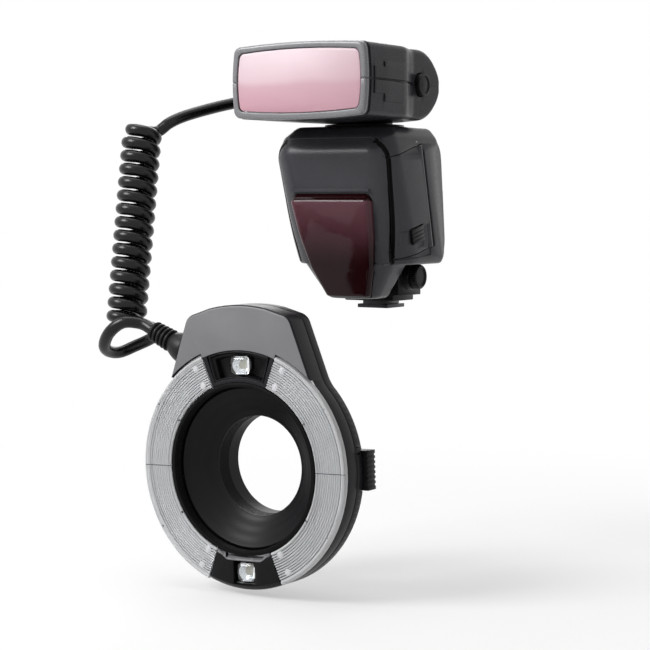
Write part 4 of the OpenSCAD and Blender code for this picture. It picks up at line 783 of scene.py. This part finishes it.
def bowedLoop(half, height, bulge, crown, corner, y, steps=7, flats=6):
    # a rounded rectangle in X and Z whose four sides bow outwards
    arcs = [[(sx * (half - corner) + corner * math.cos(a), sz * (height - corner) + corner * math.sin(a))
        for a in [math.radians(start + 90 * k / steps) for k in range(steps + 1)]]
        for sx, sz, start in [(1, -1, -90), (1, 1, 0), (-1, 1, 90), (-1, -1, 180)]]
    loop = []
    for arc, after in zip(arcs, arcs[1:] + arcs[:1]):
        (x0, z0), (x1, z1) = arc[-1], after[0]
        loop += arc + [(x0 + (x1 - x0) * k / flats, z0 + (z1 - z0) * k / flats) for k in range(1, flats)]
    return [(x + bulge * (1 - (z / height) ** 2) * (x / half), y,
        head["tiltZ"] + z + crown * (1 - (x / half) ** 2) * (z / height)) for x, z in loop]


def headSection(y, inset=0.0):
    t, flat = [min(1, max(0, (y - head[part + "From"]) / head[part + "Long"])) for part in ("slope", "bow")]
    t = 0.8 * t + 0.2 * t * t * (3 - 2 * t)
    half = head["half"] + (head["cheek"] - head["half"]) * t - inset
    past = max(0, y - head["tiltY"]) / head["drum"]
    scale = math.sqrt(max(0.0004, 1 - past * past))
    height = (head["drum"] - head["crown"] - inset) * scale
    corner = max(0.3, (head["corner"] - inset) * min(1, scale * 1.5))
    return bowedLoop(half, height, head["bulge"] * (1 - flat), head["crown"] * scale, corner, y)


def headSolid(inset=0.0, front=head["front"]):
    # the sections stand closer where the sides slope, and by the turn round the drum
    stations = [front + 2 * k for k in range(21)] + [-37.5 + 0.5 * k for k in range(16)]
    stations += [-29.5 + 2 * k for k in range(6)]
    stations += [head["tiltY"] + head["drum"] * math.sin(math.radians(a)) for a in list(range(0, 79, 6)) + [81]]
    return loft([headSection(y, inset) for y in stations])


def tiltRod(radius, low, high, sides=64):
    return rodShape((0, head["tiltY"], head["tiltZ"]), (1, 0, 0), radius, low, high, sides)


headCase = solidPiece("headCase", headSolid())
panels = solidPiece("panels", headSolid(-head["panelRise"]))
carve(panels, joinShapes([sidePrism(head["panel"], *ends) for ends in [(33, 50), (-50, -33)]]), how="INTERSECT")
carve(headCase, panels, how="UNION")
middle = head["tiltZ"]
for low, high, deep in [((-60, -90, 80), (60, head["collar"], 150), "collarDeep"),
        ((-60, -78, middle - head["parting"]), (60, -25, middle + head["parting"]), "partingDeep")]:
    groove = solidPiece("groove", boxShape(low, high))
    carve(groove, headSolid(head[deep], -95))
    carve(headCase, groove)
carve(headCase, loft([headSection(y, head["wall"]) for y in (-82, -74, -66, -58, -50, -42)]),
    tiltRod(head["slotRadius"], -head["slot"], head["slot"], sides=96), tiltRod(head["axleHole"], -29, 29),
    tiltRod(*head["buttonPocket"]), tiltRod(*head["glandHole"]))
for name, node, low, high in [("headUpperShell", "head_upper_shell", middle + 0.02, 160),
        ("headLowerShell", "head_lower_shell", 70, middle - 0.02)]:
    shell = addObject(name, headCase.data.copy())
    carve(shell, boxShape((-60, -100, low), (60, 20, high)), how="INTERSECT")
    soften(shell, head["edge"])
    dress(shell, "charcoalAbs", node)
    # painted shade: the panels' edges and the parting groove get the black finish, for the shade in these gaps
    paint(shell, "boreAbs", lambda spot, normal: abs(spot.x) > 37.5 and abs(normal.x) < 0.6 and -76 < spot.y < -43
        and 105 < spot.z < 127)
bpy.data.objects.remove(headCase)


def frontSolid(levels):
    # levels are (y, inset, corner) from the back to the front
    base = head["drum"] - head["crown"]
    return loft([bowedLoop(head["half"] - inset, base - inset, head["bulge"], head["crown"], corner, y)
        for y, inset, corner in levels])


start, inset, corner = head["nose"] + head["noseEdge"], head["noseInset"], head["corner"]
bezel = solidPiece("headBezel", frontSolid([(-77.2, 2.4, 1.6), (-79, 2.4, 1.6), (-79.02, inset, corner),
    (start, inset, corner)] + [(start - rise, inset + draw, corner) for rise, draw in edgeArc(head["noseEdge"])]))
carve(bezel, frontSolid([(-70, head["border"], 2.4), (-90, head["border"], 2.4)]))
for side in (-1, 1):
    for x, half, y in [(38, 4, -81.45), (42, 2.5, -79.6)]:
        carve(bezel, boxShape((side * x - half, -90, head["notchLow"]), (side * x + half, y, head["notchHigh"])))
soften(bezel, 0.35, 3)
dress(bezel, "bezelAbs", "head_bezel")

windowPane = solidPiece("headWindow", frontSolid(head["window"]))
soften(windowPane)
dress(windowPane, "pinkDiffuser", "head_window")

# tilt button: a turned disc with a rim, a shallow dish and a domed middle
turnedPiece("tiltButton", head["button"], 64, turned(90, "Y", (0, head["tiltY"], head["tiltZ"])), "blackAbs",
    "tilt_button")
print("flash head made")

# ring head, drawn in its own frame: Z to the front, Y up, the back at Z = 0
ring = {"place": (0, -104, -72), "roll": 2, "radius": 58.8, "humpRadius": 79.5, "humpTurn": 22, "shoulder": (33.5, 65),
    "meetY": 41.5, "cornerRound": 7, "meetRound": 19, "wall": 2.2, "hole": 42.15, "edge": 0.25, "low": 16, "face": 27.5,
    "faceEdge": 1.3, "floor": 22.8, "seat": 25, "seatRadius": 59.8, "depth": 28, "trimHalf": 21.5,
    "pockets": [(90, 24, 30, 57.6, 27.2), (0, 65.5, 43.8, 56.0, 10), (180, 65.5, 43.8, 56.0, 10),
        (90, 18.8, 44, 57.2, 10), (270, 15.5, 44, 55.6, 10)],
    "rear": [(20, 0.6), (20, 0), (49.4, 0), (50.2, 0.5), (54, 5), (58.4, 11.4), (58.8, 12.6), (58.8, 15.55),
        (58.45, 15.9), (20, 15.9)], "hump": [(9.5, 1.2), (9.86, 0.35), (10.7, 0.0), (15.55, 0.0), (15.9, 0.35)],
    "cavity": [(20, 2.2), (47.8, 2.2), (52, 5.9), (56.6, 12.7), (56.6, 18), (20, 18)], "humpFloor": 11.7, "open": 18,
    "button": ((49, -9.8, 3.7), (71, 9.8, 11.3)), "screwHole": 1.85, "screws": [(17.16, -49.83, 6.75), (22, 64, 10.25)],
    "glandAt": (-36.5, 56, 17), "glandTurn": 155, "glandHole": 5.15, "lensIn": 42.5, "lensOut": 58.9, "lensHalf": 68.2,
    "ribs": 10, "lampRadius": 50.2}
ringFrame = turned(90, "X", ring["place"]) @ turned(ring["roll"], "Z")
gland = turned(ring["glandTurn"], "Z", ring["glandAt"]) @ turned(90, "Y")


def roundCorner(a, b, c, radius, steps=8):
    u, v = (a - b).normalized(), (c - b).normalized()
    half = math.acos(max(-1, min(1, u.dot(v)))) / 2
    middle = b + (u + v).normalized() * radius / math.sin(half)
    s, e = b + u * radius / math.tan(half) - middle, b + v * radius / math.tan(half) - middle
    start = math.atan2(s.y, s.x)
    turn = (math.atan2(e.y, e.x) - start + 3 * math.pi) % (2 * math.pi) - math.pi
    return [middle + radius * Vector((math.cos(a), math.sin(a)))
        for a in [start + turn * k / steps for k in range(steps + 1)]]


def clockPoint(radius, turn):
    # a point at a turn from straight up, clockwise
    return radius * Vector((math.sin(turn), math.cos(turn)))


def ringOutline():
    # the round housing and the hump as one smooth outline, anticlockwise from the bottom
    r, meetY = ring["radius"], ring["meetY"]
    meetX = math.sqrt(r * r - meetY * meetY)
    sweep = math.degrees(math.atan2(meetY, meetX)) + 85
    turn = math.radians(ring["humpTurn"])
    shoulder = Vector(ring["shoulder"])
    hump = ring["humpRadius"]
    half = [r * Vector((math.cos(a), math.sin(a))) for a in [math.radians(-90 + sweep * k / 40) for k in range(41)]]
    half += roundCorner(half[-1], Vector((meetX, meetY)), shoulder, ring["meetRound"])[1:]
    half += roundCorner(shoulder, clockPoint(hump, turn), clockPoint(hump, turn * 0.6), ring["cornerRound"])
    half += [clockPoint(hump, turn * s) for s in (0.55, 0.4, 0.25, 0.1)]
    return half + [Vector((-p.x, p.y)) for p in reversed(half[1:])]


outline = ringOutline()


def outlineSolid(levels):
    # the outline at each height, drawn in by the inset
    loops = []
    for z, inset in levels:
        alongs = [(b - a).normalized() for a, b in zip(outline[-1:] + outline, outline[1:] + outline[:1])]
        loops.append([(*(p + inset * Vector((-along.y, along.x))), z) for p, along in zip(outline, alongs)])
    return loft(loops)


def sector(middle, half, inner, outer, low, high=40):
    return turnShape([(inner, low), (outer, low), (outer, high), (inner, high)], 48, middle - half, 2 * half)


def basinLoop(z, half, inner, outer, middle=90, corner=0.48, steps=24):
    # the outline of a rounded sector, for lofts that widen towards the front
    loop = []
    for radius, sign in [(outer, 1), (inner, -1)]:
        turns = [math.radians(middle + sign * (half - 2 * half * k / steps)) for k in range(steps + 1)]
        loop += [Vector((radius * math.cos(a), radius * math.sin(a))) for a in turns]
    rounded = []
    for i, p in enumerate(loop):
        if i in (0, steps, steps + 1, len(loop) - 1):
            rounded += roundCorner(loop[i - 1], p, loop[(i + 1) % len(loop)], corner, 5)
        else:
            rounded.append(p)
    return [(*p, z) for p in rounded]


wall = ring["wall"]
holeRod = rodShape((0, 0, 0), (0, 0, 1), ring["hole"], -5, 40, sides=128)
glandRod = placed(rodShape((0, 0, 0), (0, 0, 1), ring["glandHole"], -6, 8), gland)
low, start = ring["low"], ring["face"] - ring["faceEdge"]
cover = solidPiece("ringFrontCover", outlineSolid([(low, 0.35), (low + 0.35, 0.0), (start, 0.0)]
    + [(start + rise, draw) for rise, draw in edgeArc(ring["faceEdge"])]), ringFrame)
turn = math.radians(ring["trimHalf"])
seatLoop = [Vector((0, 0))] + [clockPoint(ring["seatRadius"], turn + (2 * math.pi - 2 * turn) * k / 96)
    for k in range(97)]
carve(cover, outlineSolid([(10, wall), (ring["floor"], wall)]), prism(seatLoop, ring["seat"], 40), holeRod,
    *[sector(*pocket) for pocket in ring["pockets"]], glandRod, place=ringFrame)
soften(cover, ring["edge"])
dress(cover, "ringAbs", "ring_front_cover")
# the face is sprayed grey and the lens seats silver, the sides stay black
paint(cover, "faceAbs", lambda spot, normal: spot.z > ring["face"] - 0.2 and normal.y < -0.8, ringFrame)
paint(cover, "seatPlastic", lambda spot, normal: abs(spot.z - ring["seat"]) < 0.3 and normal.y < -0.6, ringFrame)

housing = solidPiece("ringRearHousing", turnShape(ring["rear"], 128), ringFrame)
carve(housing, outlineSolid(ring["hump"]), how="UNION", place=ringFrame)
carve(housing, turnShape(ring["cavity"], 128), outlineSolid([(ring["humpFloor"], wall), (ring["open"], wall)]), holeRod,
    place=ringFrame)
for side in (-1, 1):
    carve(housing, boxShape(*[(side * x, y, z) for x, y, z in ring["button"]]),
        *[rodShape((side * x, y, 0), (0, 0, 1), ring["screwHole"], *ends, sides=32)
            for (x, y, z), ends in zip(ring["screws"], [(-2, 7.5), (5, 11)])], place=ringFrame)
carve(housing, glandRod, place=ringFrame)
soften(housing, ring["edge"])
dress(housing, "ringAbs", "ring_rear_housing")


def lensProfile():
    # a clear body with concentric prism ribs on its front and a plain rim at both edges
    inner, outer, top = ring["lensIn"], ring["lensOut"], ring["depth"] - 0.05
    start, end = inner + 1.6, outer - 2.6
    pitch = (end - start) / ring["ribs"]
    seat = ring["seat"]
    points = [(inner, seat), (outer, seat), (outer, top - 1.3), (outer - 0.5, top - 0.35), (outer - 1.3, top)]
    rib = [(0.11, 0.9), (-0.11, 0.9), (-0.22, 0.35), (-0.5, 0.1), (-0.78, 0.35)]
    for k in range(ring["ribs"], -1, -1):
        points += [(start + (k + along) * pitch, top - deep) for along, deep in (rib if k else rib[:2])]
    return points + [(inner + 0.9, top), (inner, top - 0.7)]


for name, node, middle, side in [("ringLensLeft", "ring_lens_left", 180, -1),
        ("ringLensRight", "ring_lens_right", 0, 1)]:
    half = ring["lensHalf"]
    lens = solidPiece(name, turnShape(lensProfile(), 110, middle - half, 2 * half), ringFrame)
    carve(lens, boxShape((side * 42, -0.22, 27), (side * 60, 0.22, 29)), place=ringFrame)
    soften(lens)
    dress(lens, "prismPmma", node)
    # painted shade: the narrow bottoms of the grooves get a darker grey, for the dark lines that refraction gives real
    # prisms
    paint(lens, "prismShade", lambda spot, normal: spot.z < ring["depth"] - 0.8 and normal.y < -0.9, ringFrame)

# lamp trims: the upper one is a basin with a bright ledge, the lower one a block with a funnel lip
trim = {"basin": [(21.6, 15.6, 45.6, 54.6), (25.0, 16.0, 45.2, 55.0), (25.25, 16.6, 45.0, 56.1),
        (26.2, 17.2, 44.8, 56.4), (28, 17.8, 44.6, 56.7)], "lampHole": (5.35, 4.6),
    "funnel": {24.9: [(-13.2, -38.5), (-11, -42.0), (11, -42.0), (13.2, -38.5)],
        28.2: [(-16, -38), (-9.5, -43.9), (9.5, -43.9), (16, -38)]},
    "lip": [(-15.2, -39.9), (-12.8, -41.8), (-10.6, -43.4), (-8.8, -44.0), (0, -44.1), (8.8, -44.0), (10.6, -43.4),
        (12.8, -41.8), (15.2, -39.9)], "lipHeight": 27.3, "lipRadius": 0.62}
topTrim = solidPiece("lampTrimTop", sector(90, 18.6, 44.15, 57.05, 20.2, 27.2), ringFrame)
x, y = trim["lampHole"]
carve(topTrim, loft([basinLoop(*level) for level in trim["basin"]]),
    boxShape((-x, ring["lampRadius"] - y, 15), (x, ring["lampRadius"] + y, 30)), place=ringFrame)
soften(topTrim, ring["edge"])
dress(topTrim, "blackAbs", "lamp_trim_top")

lowTrim = easedNode("lamp_trim_bottom", "blackAbs", ring["edge"])
carve(lowTrim, loft([[(*p, z) for p in loop] for z, loop in trim["funnel"].items()]), place=ringFrame)
shadeSmooth(lowTrim, 30)
# the funnel's slope is sprayed grey like the face
paint(lowTrim, "faceAbs", lambda spot, normal: 24.95 < spot.z < 27.75 and spot.y > -44.2 and abs(spot.x) < 15
    and normal.y < -0.2, ringFrame)
lipLine = smoothCurve([ringFrame @ Vector((*p, trim["lipHeight"])) for p in trim["lip"]], 4)
funnelLip = tubePiece("funnelLip", lipLine, trim["lipRadius"], 12)
dress(funnelLip, "faceAbs", body="control_unit", slot="ring_plastic")

# lamp lenses: square with round corners and a domed front, over a bright cup
lamp = {"levels": [(25.2, 5.1, 4.35), (26.2, 5.1, 4.35), (26.9, 4.6, 3.9), (27.3, 3.6, 3.0), (27.5, 2.0, 1.6),
        (27.55, 0.5, 0.4)], "corner": 0.45,
    "cup": [(0.9, 22.3), (3.9, 24.9), (4.1, 24.9), (4.1, 21.8), (0.9, 21.8)]}
loops = []
for z, x, y in lamp["levels"]:
    square = [Vector(p) for p in [(x, -y), (x, y), (-x, y), (-x, -y)]]
    loops.append([(*p, z) for i in range(4)
        for p in roundCorner(square[i - 1], square[i], square[(i + 1) % 4], min(x, y) * lamp["corner"], 6)])
places = [ringFrame @ Matrix.Translation((0, side * ring["lampRadius"], 0)) for side in (1, -1)]
lampLenses, lampCups = [solidPiece(name, joinShapes([placed(shape, place) for place in places]))
    for name, shape in [("lampLenses", loft(loops)), ("lampCups", turnShape(lamp["cup"], 32))]]
soften(lampLenses)
dress(lampLenses, "clearPmma", "lamp_lenses")
soften(lampCups)
dress(lampCups, "reflectorFoil", body="control_unit", slot="reflector_metal")

# posts at the ends of the lenses and the dark clips that hold them; turns are from straight up
pegs = {"lensPosts": {"look": ("postPlastic", "prism_plastic"), "turn": 27.8, "circles": (45.2, 54.4), "height": 26.1,
        "sizes": {"Radius": 1.8, "Length": 2.6, "Dome": 0.3}},
    "lensClips": {"look": ("blackAbs", "ring_plastic"), "turn": 58, "circles": (43.2, 57.6), "height": 26.4,
        "sizes": {"Radius": 0.65, "Length": 2.4, "Dome": 0.3}}}
for name, peg in pegs.items():
    finish, slot = peg["look"]
    spots = [clockPoint(circle, math.radians(peg["turn"])) for circle in peg["circles"]]
    points = [(side * p.x, upDown * p.y, peg["height"]) for upDown in (1, -1) for side in (1, -1) for p in spots]
    repeated(name, "pegs", finish, ringFrame, "control_unit", slot, points, **peg["sizes"])
print("ring head made")

# smaller pieces: the solids with their edges rounded, by finish and edge in millimetres
smallPieces = {("blackAbs", 0.6): ["foot_block"], ("coatedSteel", 0.15): ["foot_plate"], ("charcoalAbs", 0.4): ["neck"],
    ("blackAbs", 0.2): ["door_latch"], ("blackAbs", 0.12): ["control_dial"], ("testKeyAbs", 0.3): ["test_key"],
    ("keyRubber", 0.3): ["set_key", "mode_key", "soft_key_1", "soft_key_2", "soft_key_3", "soft_key_4"],
    ("blackAbs", 0.3): ["power_switch"], ("displayGlass", 0.15): ["display_window"], ("boreAbs", 0.2): ["ring_sleeve"],
    ("blackAbs", 0.25): ["release_right", "release_left"], ("bootRubber", 0.25): ["head_gland"]}
for (finish, width), names in smallPieces.items():
    for name in names:
        easedNode(name, finish, width)


# lens adapter: turned with a dished front, a hollow behind the rim and a fine thread in the bore
adapter = {"bore": 24.6, "threads": 9, "pitch": 0.9, "deep": 0.4, "threadTop": 11.2,
    "tooth": [(0, 0), (1, 0.25), (1, 0.5), (0, 0.75)],
    "profile": [(24.6, -5), (26, -5), (26, 0), (28.4, 0), (28.4, 9), (35.8, 15.9), (35.8, 3.9), (37, 3.9), (39.6, 6.5),
        (39.6, 21.4), (39.45, 21.8), (39.1, 22.05), (38.6, 22.1), (27.6, 13.75), (26.4, 12.95), (25.5, 12.45),
        (24.6, 11.9)]}
thread = [(adapter["bore"] + adapter["deep"] * out, adapter["threadTop"] - adapter["pitch"] * (k + along))
    for k in range(adapter["threads"]) for out, along in adapter["tooth"]]
turnedPiece("lensAdapter", adapter["profile"] + thread, 144, ringFrame, "anodisedAluminium", "lens_adapter")

# lock knob: a dished disc on its shaft with fine ridges round the rim
knob = {"place": (0, -4, 17), "ridges": 36, "radius": 6.2, "rim": 25.15, "ridge": 0.27, "long": 2.9,
    "profile": [(0.01, 12), (2.5, 12), (2.5, 23.3), (5.9, 23.3), (6.2, 23.6), (6.2, 26.7), (5.8, 27.2), (5.3, 27.3),
        (4.8, 27.0), (4.4, 26.5), (3.0, 26.55), (0.01, 26.7)]}
knobFrame = turned(90, "Y", knob["place"])
turnedPiece("lockKnob", knob["profile"], 72, knobFrame, "blackAbs", "lock_knob")
repeated("knobRidges", "knurls", "blackAbs", knobFrame @ Matrix.Translation((0, 0, knob["rim"])), "lock_knob",
    "key_plastic", Count=knob["ridges"], Circle=knob["radius"], Ridge=knob["ridge"], Length=knob["long"])

# strain relief on the hump: a smooth dome and a ribbed tail along the cord
boot = {"ribs": 5, "pitch": 2.55, "rib": 0.85, "ribsFrom": 12.8, "start": 4.9, "end": 4.4,
    "profile": [(0.01, -3), (4.9, -3), (4.9, 0.5), (7.3, 0.6), (7.7, 1.6), (7.7, 3.4), (7.3, 5.8), (6.5, 8.2),
        (5.6, 10.2), (4.5, 11.4), (4.1, 24.4), (3.6, 24.95), (0.01, 24.95)]}
bootFrame = ringFrame @ gland
turnedPiece("ringBoot", boot["profile"], 56, bootFrame, "bootRubber", "ring_boot")
repeated("bootRibs", "ribs", "bootRubber", bootFrame @ Matrix.Translation((0, 0, boot["ribsFrom"])), "control_unit",
    "gland_rubber", Count=boot["ribs"], Pitch=boot["pitch"], Rib=boot["rib"], Start=boot["start"], End=boot["end"])

# fine thread inside the sleeve's front, and the cross-head screws at the back
sleeve = {"thread": 23.2, "sizes": {"Count": 5, "Pitch": 0.85, "Rib": 0.32, "Start": 40.0, "End": 40.0}}
screw = {"Radius": 1.7, "Depth": 1.3}
repeated("sleeveThread", "ribs", "boreAbs", ringFrame @ Matrix.Translation((0, 0, sleeve["thread"])), "control_unit",
    "ring_plastic", **sleeve["sizes"])
screws = repeated("housingScrews", "screws", "nickel", ringFrame, "control_unit", "steel",
    [(side * x, y, z) for side in (-1, 1) for x, y, z in ring["screws"]], **screw)
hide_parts("housing_screws")
print("small pieces made")

# studio: pale floor under the hanging ring, soft boxes, white behind
studio = {"floor": -0.134, "half": 6, "ambient": 0.2, "floorColor": "#ececec", "nearWhite": 0.10, "allWhite": 0.55,
    "middle": (0, 0.07), "aim": (0, -0.05, 0.02),
    "boxes": {"keyBox": ((-0.62, -0.92, 0.72), 0.55, 15), "fillBox": ((1.1, -0.35, 0.35), 0.6, 0.4),
        "topBox": ((-0.25, 0.05, 1.15), 0.8, 7), "backBox": ((-0.7, 0.9, 0.6), 0.7, 4)}}


def seenShare(tree):
    # 1 for what the camera sees, straight, mirrored or through glass
    ray = addNode(tree, "LightPath")
    seen = addNode(tree, "Math", {0: ray["Is Camera Ray"], 1: ray["Is Transmission Ray"]}, operation="MAXIMUM")
    return addNode(tree, "Math", {0: seen[0], 1: ray["Is Glossy Ray"]}, operation="MAXIMUM")[0]


low, half = studio["floor"], studio["half"]
floorMesh = bpy.data.meshes.new("floor")
corners = [(-half, -half, low), (half, -half, low), (half, half, low), (-half, half, low)]
floorMesh.from_pydata(corners, [], [(0, 1, 2, 3)])
addObject("floor", floorMesh)
# painted floor: its shadow shows near the object and runs out to plain white further away
tree, place = newMaterial("paleFloor")
shader = tree.nodes["Principled BSDF"]
for label, value in [("Base Color", linearColor(studio["floorColor"])), ("Roughness", 0.9),
        ("Specular IOR Level", 0.1)]:
    shader.inputs[label].default_value = value
middle = addNode(tree, "Mapping", {"Vector": place, "Location": (*studio["middle"], -low)})["Vector"]
away = addNode(tree, "VectorMath", {0: middle}, operation="LENGTH")["Value"]
share = addNode(tree, "MapRange", {"Value": away, "From Min": studio["nearWhite"], "From Max": studio["allWhite"],
    "To Min": 0.5, "To Max": 1.0}, interpolation_type="SMOOTHSTEP")["Result"]
whiteShare = addNode(tree, "Math", {0: seenShare(tree), 1: share}, operation="MULTIPLY")[0]
white = addNode(tree, "Emission", {"Color": (1, 1, 1, 1), "Strength": 1.0})[0]
mix = addNode(tree, "MixShader", {0: whiteShare, 1: shader.outputs[0], 2: white})
tree.links.new(mix[0], tree.nodes["Material Output"].inputs["Surface"])
floorMesh.materials.append(made["paleFloor"])

world = bpy.data.worlds.new("studio")
bpy.context.scene.world = world
world.use_nodes = True
tree = world.node_tree
level = addNode(tree, "MapRange", {"Value": seenShare(tree), "To Min": studio["ambient"], "To Max": 1.0})
tree.links.new(level["Result"], tree.nodes["Background"].inputs["Strength"])
tree.nodes["Background"].inputs["Color"].default_value = (1, 1, 1, 1)

for name, (place, size, power) in studio["boxes"].items():
    light = bpy.data.lights.new(name, "AREA")
    light.energy = power
    light.size = size
    aimed(name, light, place, Vector(studio["aim"]) - Vector(place))
print("studio lit")
